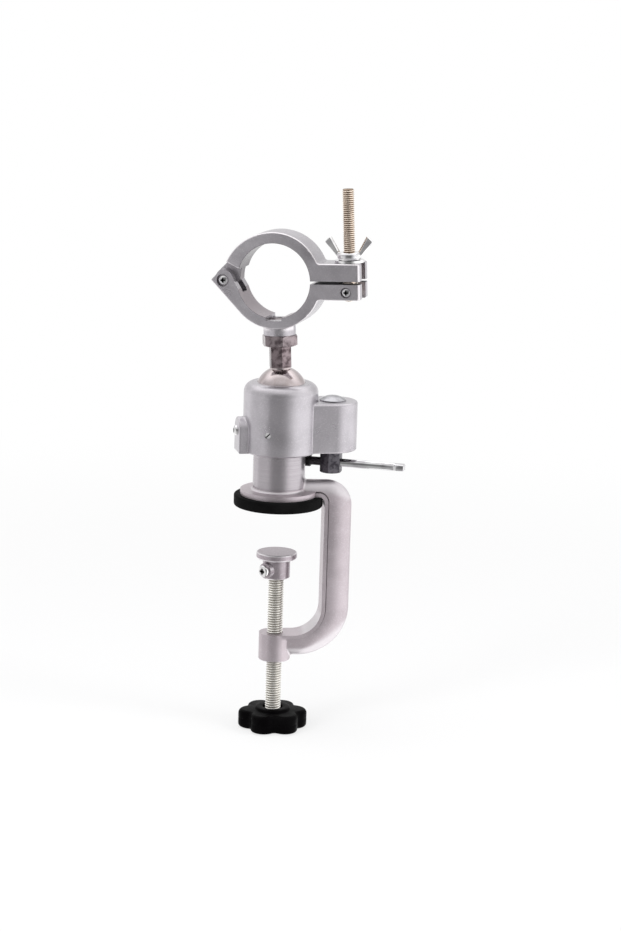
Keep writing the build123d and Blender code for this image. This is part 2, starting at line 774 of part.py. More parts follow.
with BuildPart() as swing_bolt:
    with BuildSketch(swing):
        Circle(5)
    extrude(amount=fork_half - 0.3, both=True)
    with BuildSketch(swing_axis):
        Circle(bolt_r)
    extrude(amount=swing_tip - swing_z)
    chamfer(swing_bolt.edges().sort_by(head_axis)[-1], length=0.6)
    with BuildSketch(swing):
        Circle(pin_r + run_gap)
    extrude(amount=fork_half, both=True, mode=Mode.SUBTRACT)
swing_bolt.part.label = "swing_bolt"
export_step(swing_bolt.part, "parts/swing_bolt.step")

washer_thick = 1.2
washer_face = ear_top - swing_z + face_gap
wing_low = washer_face + washer_thick + face_gap
wing_hub = 3.7

with BuildPart() as swing_washer:
    with BuildSketch(swing_axis.offset(washer_face)):
        Circle(7.25)
        Circle(bolt_r + run_gap, mode=Mode.SUBTRACT)
    extrude(amount=washer_thick)
swing_washer.part.label = "swing_washer"
export_step(swing_washer.part, "parts/swing_washer.step")

wing_side = Plane(swing_axis.offset(wing_low).origin, head.x_dir, -head.y_dir)

with BuildPart() as wing_nut:
    with BuildSketch(swing_axis.offset(wing_low)):
        Circle(5.8)
    extrude(amount=wing_hub, taper=12)
    with BuildSketch(wing_side):
        with BuildLine():
            Polyline(
                (3.2, 0.3), (5.9, 0.6), (11.9, 9.2), (11.9, 10.3), (9.9, 11.3), (8.9, 10.8),
                (4.9, wing_hub), (3.2, wing_hub), (3.2, 0.3),
            )
        make_face()
        mirror(about=Plane.YZ)
    extrude(amount=1.0, both=True)
    wing_tips = wing_nut.edges().filter_by(Axis(ring.origin, ring.z_dir))
    fillet(wing_tips.group_by(Axis(ring.origin, head.z_dir))[-1], radius=0.5)
    with BuildSketch(swing_axis.offset(wing_low)):
        Circle(bolt_r + run_gap)
    extrude(amount=wing_hub, mode=Mode.SUBTRACT)
wing_nut.part.label = "wing_nut"
export_step(wing_nut.part, "parts/wing_nut.step")
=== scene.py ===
import bpy
import bmesh
import json
import math
from mathutils import Matrix, Vector


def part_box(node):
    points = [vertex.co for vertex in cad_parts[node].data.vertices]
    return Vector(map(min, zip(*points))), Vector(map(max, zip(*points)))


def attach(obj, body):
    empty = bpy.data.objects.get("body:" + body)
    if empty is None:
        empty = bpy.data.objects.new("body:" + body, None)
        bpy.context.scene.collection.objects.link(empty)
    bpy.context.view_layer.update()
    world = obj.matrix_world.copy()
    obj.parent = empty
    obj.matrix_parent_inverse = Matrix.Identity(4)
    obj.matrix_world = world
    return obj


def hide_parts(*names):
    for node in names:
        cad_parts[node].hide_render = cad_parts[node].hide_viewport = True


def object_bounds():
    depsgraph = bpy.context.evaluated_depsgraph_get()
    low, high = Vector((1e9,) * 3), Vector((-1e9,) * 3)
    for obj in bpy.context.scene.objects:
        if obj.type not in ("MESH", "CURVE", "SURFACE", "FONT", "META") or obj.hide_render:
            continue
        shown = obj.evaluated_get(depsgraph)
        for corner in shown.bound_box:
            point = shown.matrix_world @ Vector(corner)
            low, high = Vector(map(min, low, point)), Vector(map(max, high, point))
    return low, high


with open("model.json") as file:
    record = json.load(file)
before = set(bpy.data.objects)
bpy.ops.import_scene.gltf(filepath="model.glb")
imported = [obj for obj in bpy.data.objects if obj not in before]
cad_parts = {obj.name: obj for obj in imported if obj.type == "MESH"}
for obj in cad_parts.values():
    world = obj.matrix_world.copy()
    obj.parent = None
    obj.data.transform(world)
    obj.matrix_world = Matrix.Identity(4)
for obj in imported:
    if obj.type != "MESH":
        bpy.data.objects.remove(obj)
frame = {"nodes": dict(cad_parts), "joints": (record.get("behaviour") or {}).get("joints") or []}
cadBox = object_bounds()
cadNodes = frame["nodes"]
joints = {joint["name"]: joint for joint in frame["joints"]}
mm = 0.001
print("frame loaded:", len(cadNodes), "solids")

# directions and places that the new pieces share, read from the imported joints
upward = Vector((0, 0, 1))
headUp = Vector(joints["nut_travel"]["axis"]).normalized()
headFront = Vector(joints["ring_open"]["axis"]).normalized()
headRight = headUp.cross(headFront).normalized()
ballMiddle = Vector(joints["ball_tilt"]["pos_m"])
ringRise = 56.3 * mm  # from the ball's middle to the ring's
ringMiddle = ballMiddle + headUp * ringRise
lockLine = Vector(joints["lock_turn"]["pos_m"])
barOut = Vector(joints["bar_slide"]["axis"]).normalized()


def placeOf(origin, across, up):
    turned = Matrix((across, up.cross(across), up)).transposed()
    return Matrix.Translation(origin) @ turned.to_4x4()


swingPlace = placeOf(Vector(joints["bolt_swing"]["pos_m"]), headRight, headUp)

# The camera stands where the photograph was taken from.
cameraView = {
    "azimuth": -6.0,
    "elevation": 12.3,
    "roll": -1.7,
    "distance": 1.325,
    "focalPixels": 2650.0,
    "photoSize": (621, 931),
    "aim": (0.0, 0.0, -0.00382),
    "aimPixel": (277.9, 512.0),
    "sensorHeight": 36.0,
    "farClip": 60.0,
}


def makeCamera(view):
    azimuth, elevation, roll = (math.radians(view[key]) for key in ("azimuth", "elevation", "roll"))
    ahead = Vector((
        -math.sin(azimuth) * math.cos(elevation),
        math.cos(azimuth) * math.cos(elevation),
        -math.sin(elevation),
    ))
    level = ahead.cross(upward).normalized()
    rise = level.cross(ahead)
    right = math.cos(roll) * level - math.sin(roll) * rise
    up = math.sin(roll) * level + math.cos(roll) * rise
    width, height = view["photoSize"]
    toAim = ahead + (view["aimPixel"][0] - width / 2) / view["focalPixels"] * right
    toAim = toAim - (view["aimPixel"][1] - height / 2) / view["focalPixels"] * up
    data = bpy.data.cameras.new("photoCamera")
    data.sensor_fit = "VERTICAL"
    data.sensor_height = view["sensorHeight"]
    data.lens = view["sensorHeight"] * view["focalPixels"] / height
    data.clip_end = view["farClip"]
    camera = bpy.data.objects.new("photoCamera", data)
    bpy.context.scene.collection.objects.link(camera)
    place = Vector(view["aim"]) - view["distance"] * toAim
    turned = Matrix((right, up, -ahead)).transposed()
    camera.matrix_world = Matrix.Translation(place) @ turned.to_4x4()
    bpy.context.scene.camera = camera


makeCamera(cameraView)


def toLinear(hexColour):
    parts = [int(hexColour[i : i + 2], 16) / 255 for i in (1, 3, 5)]
    return tuple(c / 12.92 if c <= 0.04045 else ((c + 0.055) / 1.055) ** 2.4 for c in parts) + (1.0,)


def addNode(tree, kind, inputs=None, output=0, **settings):
    # an input is another node's output, a hex colour or a plain value
    node = tree.nodes.new(kind)
    for name, value in settings.items():
        setattr(node, name, value)
    for slot, value in (inputs or {}).items():
        if isinstance(value, bpy.types.NodeSocket):
            tree.links.new(value, node.inputs[slot])
        else:
            node.inputs[slot].default_value = toLinear(value) if isinstance(value, str) else value
    return node.outputs[output] if node.outputs else None


# settings that many nodes share
soft = {"interpolation_type": "SMOOTHSTEP"}
inColour = {"output": 2, "data_type": "RGBA"}
asValue = {"output": "Value"}

studio = {
    "floorColour": "#f4f4f5",
    "floorReach": 40.0,
    "floorDrop": 0.4 * mm,  # below the knob
    "floorGlow": 0.72,  # share of the floor's white that the camera sees without its shading
    "whiteFrom": (0.22, 0.75),  # metres from the object over which the floor turns plain white
    "toCamera": -96.0,  # compass angle of the side the photograph is taken from
    "fill": 0.55,
    "overhead": 2.3,
    "overheadFrom": (0.40, 0.85),  # how far up a ray looks where walls give way to overhead
    "overheadFront": 0.55,  # the overhead panel's share above the camera side
    "frontFrom": (-0.15, 0.35),  # how far towards the camera a ray looks where that share sets in
    "nearGlow": 0.50,  # what polished metal sees of the floor close by
    "nearFrom": (0.30, 1.0),
    "roomTop": 1.6,
    # what polished metal sees at each angle round from the camera, as a share of roomTop
    "room": (
        (-180, 0.74), (-128, 0.66), (-112, 0.85), (-100, 0.55), (-48, 0.55), (-26, 0.16),
        (8, 0.12), (24, 0.30), (50, 0.95), (108, 1.00), (132, 0.66), (180, 0.74),
    ),
}


def roomGlow(tree, direction):
    # metal sees a dark camera side, a long pale panel on the right and a weaker one on the left
    turn = {0: direction, "Angle": math.radians(-studio["toCamera"])}
    turned = addNode(tree, "ShaderNodeVectorRotate", turn, rotation_type="Z_AXIS")
    sides = addNode(tree, "ShaderNodeSeparateXYZ", {0: turned}).node.outputs
    angle = addNode(tree, "ShaderNodeMath", {0: sides[1], 1: sides[0]}, operation="ARCTAN2")
    share = addNode(tree, "ShaderNodeMapRange", {0: angle, 1: -math.pi, 2: math.pi})
    room = addNode(tree, "ShaderNodeValToRGB", {0: share})
    stops = room.node.color_ramp.elements
    while len(stops) > 1:
        stops.remove(stops[0])
    for place, (degrees, level) in enumerate(studio["room"]):
        position = (degrees + 180) / 360
        stop = stops[0] if place == 0 else stops.new(position)
        stop.position = position
        stop.color = (level, level, level, 1)
    return addNode(tree, "ShaderNodeMath", {0: room, 1: studio["roomTop"]}, operation="MULTIPLY"), sides


def makeFloor():
    mesh = bpy.data.meshes.new("studioFloor")
    reach = studio["floorReach"]
    low = cadBox[0][2] - studio["floorDrop"]
    corners = [(x * reach, y * reach, low) for x, y in ((-1, -1), (1, -1), (1, 1), (-1, 1))]
    mesh.from_pydata(corners, [], [(0, 1, 2, 3)])
    floor = bpy.data.objects.new("studioFloor", mesh)
    bpy.context.scene.collection.objects.link(floor)
    material = bpy.data.materials.new("paperSweep")
    material.use_nodes = True
    tree = material.node_tree
    tree.nodes.clear()
    rays = addNode(tree, "ShaderNodeLightPath").node.outputs
    spot = addNode(tree, "ShaderNodeTexCoord", output="Object")
    away = addNode(tree, "ShaderNodeVectorMath", {0: spot}, operation="LENGTH", **asValue)
    near, far = studio["whiteFrom"]
    plain = {0: away, 1: near, 2: far, 3: studio["floorGlow"], 4: 1.0}
    plain = addNode(tree, "ShaderNodeMapRange", plain, **soft)
    seen = addNode(tree, "ShaderNodeMath", {0: rays["Is Camera Ray"], 1: plain}, operation="MULTIPLY")
    share = addNode(tree, "ShaderNodeMath", {0: seen, 1: rays["Is Glossy Ray"]}, operation="MAXIMUM")
    near, far = studio["nearFrom"]
    close = addNode(tree, "ShaderNodeMapRange", {0: away, 1: near, 2: far, 3: studio["nearGlow"], 4: 0.0})
    walls = roomGlow(tree, spot)[0]
    mirrored = addNode(tree, "ShaderNodeMath", {0: walls, 1: close}, operation="MAXIMUM")
    strength = addNode(tree, "ShaderNodeMix", {0: rays["Is Glossy Ray"], 2: 1.0, 3: mirrored})
    paper = addNode(tree, "ShaderNodeBsdfDiffuse", {"Color": studio["floorColour"]})
    glow = addNode(tree, "ShaderNodeEmission", {"Strength": strength})
    mixed = addNode(tree, "ShaderNodeMixShader", {0: share, 1: paper, 2: glow})
    addNode(tree, "ShaderNodeOutputMaterial", {0: mixed})
    mesh.materials.append(material)


def makeWorld():
    world = bpy.data.worlds.new("softStudio")
    bpy.context.scene.world = world
    world.use_nodes = True
    tree = world.node_tree
    tree.nodes.clear()
    walls, sides = roomGlow(tree, addNode(tree, "ShaderNodeTexCoord", output="Generated"))
    low, high = studio["overheadFrom"]
    above = addNode(tree, "ShaderNodeMapRange", {0: sides[2], 1: low, 2: high}, **soft)
    start, end = studio["frontFrom"]
    overhead = studio["overhead"]
    panel = {0: sides[0], 1: start, 2: end, 3: overhead, 4: overhead * studio["overheadFront"]}
    panel = addNode(tree, "ShaderNodeMapRange", panel, **soft)
    level = addNode(tree, "ShaderNodeMix", {0: above, 2: walls, 3: panel})
    rays = addNode(tree, "ShaderNodeLightPath").node.outputs
    glossy = addNode(tree, "ShaderNodeBackground", {1: level})
    plain = addNode(tree, "ShaderNodeBackground", {1: studio["fill"]})
    white = addNode(tree, "ShaderNodeBackground", {0: "#ffffff", 1: 1.0})
    lit = addNode(tree, "ShaderNodeMixShader", {0: rays["Is Glossy Ray"], 1: plain, 2: glossy})
    shown = addNode(tree, "ShaderNodeMixShader", {0: rays["Is Camera Ray"], 1: lit, 2: white})
    addNode(tree, "ShaderNodeOutputWorld", {0: shown})


softboxes = {
    "leftBox": {"place": (-0.95, -0.85, 0.42), "size": (0.42, 1.1), "watts": 9.0},
    "rightBox": {"place": (1.05, -0.55, 0.40), "size": (0.40, 1.1), "watts": 8.0},
    "topBox": {"place": (-0.15, -0.10, 1.35), "size": (0.9, 0.7), "watts": 9.0},
}
softboxAim = Vector((0, 0, 0.02))


def makeLights():
    for name, box in softboxes.items():
        data = bpy.data.lights.new(name, "AREA")
        data.shape = "RECTANGLE"
        data.size, data.size_y = box["size"]
        data.energy = box["watts"]
        lamp = bpy.data.objects.new(name, data)
        bpy.context.scene.collection.objects.link(lamp)
        lamp.visible_glossy = False  # the room above gives metal its reflections
        lamp.location = box["place"]
        lamp.rotation_euler = (softboxAim - Vector(box["place"])).to_track_quat("-Z", "Y").to_euler()


makeFloor()
makeWorld()
makeLights()
bpy.context.scene.view_settings.view_transform = "Standard"
print("stage, lights and camera ready")


def startFinish(name, base):
    material = bpy.data.materials.new(name)
    material.use_nodes = True
    tree = material.node_tree
    tree.nodes.clear()
    surface = addNode(tree, "ShaderNodeBsdfPrincipled", base)
    addNode(tree, "ShaderNodeOutputMaterial", {0: surface})
    return material, tree, surface.node, addNode(tree, "ShaderNodeTexCoord", output="Object")


def mottle(tree, pattern, low, high, dark, bright):
    # two tones that drift into each other along a pattern
    share = addNode(tree, "ShaderNodeMapRange", {0: pattern, 1: low, 2: high}, **soft)
    return addNode(tree, "ShaderNodeMix", {0: share, 6: dark, 7: bright}, **inColour)


def fromAxis(tree, x, y):
    flat = addNode(tree, "ShaderNodeCombineXYZ", {0: x, 1: y})
    return addNode(tree, "ShaderNodeVectorMath", {0: flat}, operation="LENGTH", **asValue)


def endFinish(tree, shader, colour, roughness, height=None, depth=0.0, strength=0.0):
    tree.links.new(colour, shader.inputs["Base Color"])
    tree.links.new(roughness, shader.inputs["Roughness"])
    if height:
        bump = {"Height": height, "Distance": depth, "Strength": strength}
        tree.links.new(addNode(tree, "ShaderNodeBump", bump), shader.inputs["Normal"])


# Die-cast aluminium under a satin silver-grey metallic lacquer: broad soft highlights, a faint
# orange peel, tiny bright flakes, and a lilac-grey cast in the shade.
castLacquer = {
    "base": {"Metallic": 0.82, "Coat Weight": 0.12, "Coat Roughness": 0.25},
    # two tones of lacquer and its roughness for the head, the frame and the pressure pad
    "head": ("#aca8ad", "#b9b5ba", (0.27, 0.34)),
    # the frame's lacquer is pinker, and both its tones are paler as painted light for the brighter light
    # falling on the arm
    "frame": ("#b5abb0", "#c2b8bd", (0.38, 0.46)),
    "pad": ("#a1979d", "#ada3a9", (0.30, 0.38)),
    # the tone of the painted highlight on rounded edges
    "edgeHighlight": "#dedadd",
    # the tone and reach of the painted shade in creases and inner corners
    "creaseShade": "#3f3a3f",
    "creaseShadeReach": 1.4 * mm,
    "flake": "#d6d3d7",
    "flakeSize": 0.35 * mm,  # real flakes are 0.03 mm, too fine to show
    "peelSize": 1.6 * mm,
    "peelDepth": 0.02 * mm,
    "cloudSize": 14 * mm,
    # the turned post: just outside its wall, just above its foot, and its fine rings
    "postSide": (13.02 * mm, 13.1 * mm),
    "postFoot": (9.3 * mm, 9.6 * mm),
    "postTones": ("#a7a1a6", "#b1acb0"),
    "postRings": (12.0, 12.0, 1 / (0.4 * mm)),
    "postRoughness": 0.27,
    # the ring, measured from its middle
    "neckTop": (-25.5 * mm, -24 * mm),
    "boreSide": (18.6 * mm, 18.7 * mm),
    # the bore's raw-metal tones, low and high; the higher one's extra darkness is painted shade
    "boreTones": ("#948a8f", "#5e585d"),
    "boreTurns": (-6 * mm, 6 * mm),
    "split": (-0.6 * mm, 0.76 * mm),  # its height, and how far from it the painted shade reaches
    "splitFrom": (19.5 * mm, 20.5 * mm),
    # the tone and roughness of the painted shade where the ears meet
    "gapShadeTone": "#474448",
    "splitRoughness": 0.8,
}


def makeCastLacquer(name, tone, highlightAlong, highlightShare=1.0, turnedPost=False, ringCasting=False):
    values = castLacquer
    material, tree, shader, coords = startFinish(name, values["base"])
    shade, light, (glossy, dull) = values[tone]
    cloud = {"Vector": coords, "Scale": 1 / values["cloudSize"], "Detail": 3.0}
    cloud = addNode(tree, "ShaderNodeTexNoise", cloud)
    colour = mottle(tree, cloud, 0.35, 0.65, shade, light)
    rough = addNode(tree, "ShaderNodeMapRange", {0: cloud, 1: 0.3, 2: 0.7, 3: glossy, 4: dull}, **soft)
    flakes = {"Vector": coords, "Scale": 1 / values["flakeSize"]}
    flakes = addNode(tree, "ShaderNodeTexVoronoi", flakes, "Color")
    share = addNode(tree, "ShaderNodeSeparateColor", {0: flakes})
    share = addNode(tree, "ShaderNodeMapRange", {0: share, 1: 0.72, 2: 1.0, 3: 0.0, 4: 0.35}, **soft)
    colour = addNode(tree, "ShaderNodeMix", {0: share, 6: colour, 7: values["flake"]}, **inColour)
    peel = {"Vector": coords, "Scale": 1 / values["peelSize"], "Detail": 2.0}
    height = addNode(tree, "ShaderNodeTexNoise", peel)
    offset = addNode(tree, "ShaderNodeVectorMath", {0: coords, 1: ringMiddle}, operation="SUBTRACT")
    rise = addNode(tree, "ShaderNodeVectorMath", {0: offset, 1: headUp}, operation="DOT_PRODUCT", **asValue)
    # rounded edges get a painted highlight where a flat face turns into a side
    normal = {0: addNode(tree, "ShaderNodeNewGeometry", output="Normal"), 1: highlightAlong}
    facing = addNode(tree, "ShaderNodeVectorMath", normal, operation="DOT_PRODUCT", **asValue)
    facing = addNode(tree, "ShaderNodeMath", {0: facing}, operation="ABSOLUTE")
    edgeHighlight = addNode(tree, "ShaderNodeMapRange", {0: facing, 1: 0.12, 2: 0.35, 4: highlightShare}, **soft)
    side = addNode(tree, "ShaderNodeMapRange", {0: facing, 1: 0.88, 2: 0.98, 3: 1.0, 4: 0.0}, **soft)
    edge = addNode(tree, "ShaderNodeMath", {0: edgeHighlight, 1: side}, operation="MULTIPLY")
    if ringCasting:
        # but not on the neck
        low, high = values["neckTop"]
        ring = addNode(tree, "ShaderNodeMapRange", {0: rise, 1: low, 2: high}, **soft)
        edge = addNode(tree, "ShaderNodeMath", {0: edge, 1: ring}, operation="MULTIPLY")
    colour = addNode(tree, "ShaderNodeMix", {0: edge, 6: colour, 7: values["edgeHighlight"]}, **inColour)
    if turnedPost:
        # the post above the plate is turned bare: fine rings round it, darker and glossier
        place = addNode(tree, "ShaderNodeSeparateXYZ", {0: coords}).node.outputs
        radius = fromAxis(tree, place[0], place[1])
        inner, outer = values["postSide"]
        inside = addNode(tree, "ShaderNodeMapRange", {0: radius, 1: inner, 2: outer, 3: 1.0, 4: 0.0}, **soft)
        low, high = values["postFoot"]
        above = addNode(tree, "ShaderNodeMapRange", {0: place[2], 1: low, 2: high}, **soft)
        post = addNode(tree, "ShaderNodeMath", {0: inside, 1: above}, operation="MULTIPLY")
        stretched = addNode(tree, "ShaderNodeMapping", {0: coords, "Scale": values["postRings"]})
        rings = addNode(tree, "ShaderNodeTexNoise", {"Vector": stretched, "Scale": 1.0, "Detail": 3.0})
        dark, bright = values["postTones"]
        bare = mottle(tree, rings, 0.35, 0.65, dark, bright)
        colour = addNode(tree, "ShaderNodeMix", {0: post, 6: colour, 7: bare}, **inColour)
        rough = addNode(tree, "ShaderNodeMix", {0: post, 2: rough, 3: values["postRoughness"]})
        fine = addNode(tree, "ShaderNodeMath", {0: rings, 1: 0.10}, operation="MULTIPLY")
        height = addNode(tree, "ShaderNodeMix", {0: post, 2: height, 3: fine})
    if ringCasting:
        side = {0: offset, 1: headRight}
        side = addNode(tree, "ShaderNodeVectorMath", side, operation="DOT_PRODUCT", **asValue)
        radius = fromAxis(tree, side, rise)
        # the bore is raw metal, browner, and darker in the upper half as painted shade
        inner, outer = values["boreSide"]
        bore = addNode(tree, "ShaderNodeMapRange", {0: radius, 1: inner, 2: outer, 3: 1.0, 4: 0.0}, **soft)
        low, high = values["boreTurns"]
        lower, upper = values["boreTones"]
        raw = mottle(tree, rise, low, high, lower, upper)
        colour = addNode(tree, "ShaderNodeMix", {0: bore, 6: colour, 7: raw}, **inColour)
        # painted shade on the faces where the ears meet, standing in for the shadow between them
        middle, within = values["split"]
        split = addNode(tree, "ShaderNodeMath", {0: rise, 1: middle, 2: within}, operation="COMPARE")
        inner, outer = values["splitFrom"]
        ears = addNode(tree, "ShaderNodeMapRange", {0: side, 1: inner, 2: outer}, **soft)
        gapShade = addNode(tree, "ShaderNodeMath", {0: split, 1: ears}, operation="MULTIPLY")
        colour = addNode(tree, "ShaderNodeMix", {0: gapShade, 6: colour, 7: values["gapShadeTone"]}, **inColour)
        rough = addNode(tree, "ShaderNodeMix", {0: gapShade, 2: rough, 3: values["splitRoughness"]})
    # painted shade darkens creases and inner corners
    reach = {"Distance": values["creaseShadeReach"]}
    corner = addNode(tree, "ShaderNodeAmbientOcclusion", reach, "AO", samples=8, only_local=True)
    share = addNode(tree, "ShaderNodeMapRange", {0: corner, 1: 0.35, 2: 0.85, 3: 0.75, 4: 0.0}, **soft)
    colour = addNode(tree, "ShaderNodeMix", {0: share, 6: colour, 7: values["creaseShade"]}, **inColour)
    endFinish(tree, shader, colour, rough, height, values["peelDepth"], 0.5)
    return material


# Plated or bare steel in several finishes. Light handling marks run across it, and the plate is
# a little darker and duller where the surface is cloudy.
platings = {
    "brightZinc": {
        "dark": "#cccbce", "bright": "#f0efef", "roughness": (0.08, 0.16),
        "cloud": 5 * mm, "marks": 0.5 * mm,
    },
    "agedNickel": {
        "dark": "#5c5255", "bright": "#958a8d", "roughness": (0.16, 0.28),
        "cloud": 3.5 * mm, "marks": 0.5 * mm,
    },
    "capSteel": {
        "dark": "#8f8e92", "bright": "#adacb0", "roughness": (0.12, 0.20),
        "cloud": 4 * mm, "marks": 0.5 * mm,
    },
    "plainSteel": {
        "dark": "#6b6b6e", "bright": "#8d8d90", "roughness": (0.32, 0.45),
        "cloud": 4 * mm, "marks": 0.3 * mm,
    },
    "blackOxide": {
        "dark": "#3d3a40", "bright": "#6a676d", "roughness": (0.30, 0.42),
        "cloud": 2.5 * mm, "marks": 0.35 * mm,
    },
}


def makePlating(name):
    values = platings[name]
    material, tree, shader, coords = startFinish(name, {"Metallic": 1.0})
    glossy, dull = values["roughness"]
    cloud = {"Vector": coords, "Scale": 1 / values["cloud"], "Detail": 4.0, "Distortion": 0.6}
    cloud = addNode(tree, "ShaderNodeTexNoise", cloud)
    marks = {"Vector": coords, "Scale": 1 / values["marks"], "Detail": 2.0}
    marks = addNode(tree, "ShaderNodeTexNoise", marks)
    colour = mottle(tree, cloud, 0.3, 0.62, values["dark"], values["bright"])
    rough = addNode(tree, "ShaderNodeMapRange", {0: cloud, 1: 0.35, 2: 0.7, 3: dull, 4: glossy}, **soft)
    endFinish(tree, shader, colour, rough, marks, 0.006 * mm, 0.35)
    return material


# Zinc-plated rolled thread. The crests are worn bright and the roots carry painted shade in a
# dull darker grey; the depth below the crest is read from the distance to the rod's own axis.
rolledZincs = {
    "warmZincThread": {"root": "#aba79f", "crest": "#fbf9f4", "roughness": (0.46, 0.24)},
    "yellowZincThread": {"root": "#8a7665", "crest": "#fbeee0", "roughness": (0.44, 0.22)},
}
rolledMarks = {"crestFlat": 0.08 * mm, "stain": 5 * mm, "grain": 0.2 * mm, "grainDepth": 0.01 * mm}


def makeRolledZinc(name, place, sizes):
    values = rolledZincs[name]
    material, tree, shader, coords = startFinish(name, {"Metallic": 0.86})
    back = place.inverted()
    onAxis = {0: coords, "Location": back.translation, "Rotation": back.to_euler()}
    onAxis = addNode(tree, "ShaderNodeMapping", onAxis)
    parts = addNode(tree, "ShaderNodeSeparateXYZ", {0: onAxis}).node.outputs
    radius = fromAxis(tree, parts[0], parts[1])
    root, crest = sizes["Radius"] - sizes["Depth"], sizes["Radius"] - rolledMarks["crestFlat"]
    raised = addNode(tree, "ShaderNodeMapRange", {0: radius, 1: root, 2: crest}, **soft)
    stain = {"Vector": coords, "Scale": 1 / rolledMarks["stain"], "Detail": 3.0}
    stain = addNode(tree, "ShaderNodeTexNoise", stain)
    stain = addNode(tree, "ShaderNodeMapRange", {0: stain, 1: 0.3, 2: 0.6, 3: 0.72, 4: 1.0}, **soft)
    worn = addNode(tree, "ShaderNodeMath", {0: raised, 1: stain}, operation="MULTIPLY")
    colour = addNode(tree, "ShaderNodeMix", {0: worn, 6: values["root"], 7: values["crest"]}, **inColour)
    dull, glossy = values["roughness"]
    rough = addNode(tree, "ShaderNodeMapRange", {0: worn, 1: 0.0, 2: 1.0, 3: dull, 4: glossy}, **soft)
    grain = {"Vector": coords, "Scale": 1 / rolledMarks["grain"], "Detail": 2.0}
    grain = addNode(tree, "ShaderNodeTexNoise", grain)
    endFinish(tree, shader, colour, rough, grain, rolledMarks["grainDepth"], 0.4)
    return material


# Black polymers: a dull nitrile rubber pad, a satin phenolic knob and a shinier vinyl cap.
polymers = {
    "nitrileRubber": {
        "dark": "#080808", "light": "#101010", "roughness": (0.66, 0.84), "specular": 0.06,
        "grain": 0.45 * mm, "depth": 0.05 * mm,
    },
    "phenolicMoulding": {
        "dark": "#060506", "light": "#0b0a0b", "roughness": (0.30, 0.42), "specular": 0.015,
        "grain": 0.9 * mm, "depth": 0.02 * mm,
    },
    "vinylCap": {
        "dark": "#070707", "light": "#0e0e0f", "roughness": (0.30, 0.42), "specular": 0.3,
        "grain": 0.6 * mm, "depth": 0.02 * mm,
    },
}
polymerCloud = 7 * mm


def makePolymer(name):
    values = polymers[name]
    base = {"Metallic": 0.0, "Specular IOR Level": values["specular"]}
    material, tree, shader, coords = startFinish(name, base)
    glossy, dull = values["roughness"]
    cloud = addNode(tree, "ShaderNodeTexNoise", {"Vector": coords, "Scale": 1 / polymerCloud, "Detail": 4.0})
    grain = {"Vector": coords, "Scale": 1 / values["grain"], "Detail": 4.0, "Roughness": 0.6}
    grain = addNode(tree, "ShaderNodeTexNoise", grain)
    colour = mottle(tree, cloud, 0.3, 0.7, values["dark"], values["light"])
    rough = addNode(tree, "ShaderNodeMapRange", {0: grain, 1: 0.3, 2: 0.7, 3: glossy, 4: dull}, **soft)
    endFinish(tree, shader, colour, rough, grain, values["depth"], 0.8)
    return material


# The ball's nickel is worn bright in its seat, and the stem above it keeps a dark, stained plate.
studNickel = {
    "worn": ("#b8adad", "#bdb3b4"),
    "stained": ("#4b4043", "#8d8083"),
    "roughness": (0.15, 0.27),
    "stain": 3 * mm,
    "marks": 0.6 * mm,
    "stemFrom": (12.3 * mm, 13.0 * mm),
}


def makeStudNickel():
    values = studNickel
    material, tree, shader, coords = startFinish("nickelStud", {"Metallic": 1.0})
    offset = addNode(tree, "ShaderNodeVectorMath", {0: coords, 1: ballMiddle}, operation="SUBTRACT")
    height = {0: offset, 1: headUp}
    height = addNode(tree, "ShaderNodeVectorMath", height, operation="DOT_PRODUCT", **asValue)
    low, high = values["stemFrom"]
    stem = addNode(tree, "ShaderNodeMapRange", {0: height, 1: low, 2: high}, **soft)
    stain = {"Vector": coords, "Scale": 1 / values["stain"], "Detail": 4.0}
    stain = addNode(tree, "ShaderNodeTexNoise", stain)
    dark, bright = values["worn"]
    worn = mottle(tree, stain, 0.32, 0.6, dark, bright)
    dark, bright = values["stained"]
    stained = mottle(tree, stain, 0.35, 0.65, dark, bright)
    colour = addNode(tree, "ShaderNodeMix", {0: stem, 6: worn, 7: stained}, **inColour)
    glossy, dull = values["roughness"]
    rough = addNode(tree, "ShaderNodeMix", {0: stem, 2: glossy, 3: dull})
    marks = {"Vector": coords, "Scale": 1 / values["marks"], "Detail": 2.0}
    marks = addNode(tree, "ShaderNodeTexNoise", marks)
    endFinish(tree, shader, colour, rough, marks, 0.004 * mm, 0.3)
    return material


def compass(degrees):
    return Vector((math.cos(math.radians(degrees)), math.sin(math.radians(degrees)), 0))


# Bright zinc screws: the drive recess and the middle of the head carry painted shade, so they read black.
screwHeads = {
    # each head's last figure is the share of painted shade over the middle of its face
    "hinge_pin": {"axis": headFront, "recess": 1.25 * mm, "centreShade": 0.9},
    "swing_pin": {"axis": headFront, "recess": 1.25 * mm, "centreShade": 0.9},
    "pad_screw": {"axis": compass(-138), "recess": 1.9 * mm, "centreShade": 0.8},
    "boss_screw": {"axis": compass(187), "recess": 1.9 * mm, "centreShade": 0.8},
    "grub_screw": {"axis": compass(-114.5), "recess": 1.3 * mm, "centreShade": 0.0},
}
# the tone, roughness and depth of the painted shade in the drive recess
screwRecessShade = {"tone": "#151416", "roughness": 0.6, "depth": (0.25 * mm, 0.55 * mm)}


def headMiddle(name):
    axis = screwHeads[name]["axis"]
    reach = [axis.dot(vertex.co) for vertex in cadNodes[name].data.vertices]
    low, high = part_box(name)
    middle = (low + high) / 2
    return middle + axis * (max(reach) - axis.dot(middle))


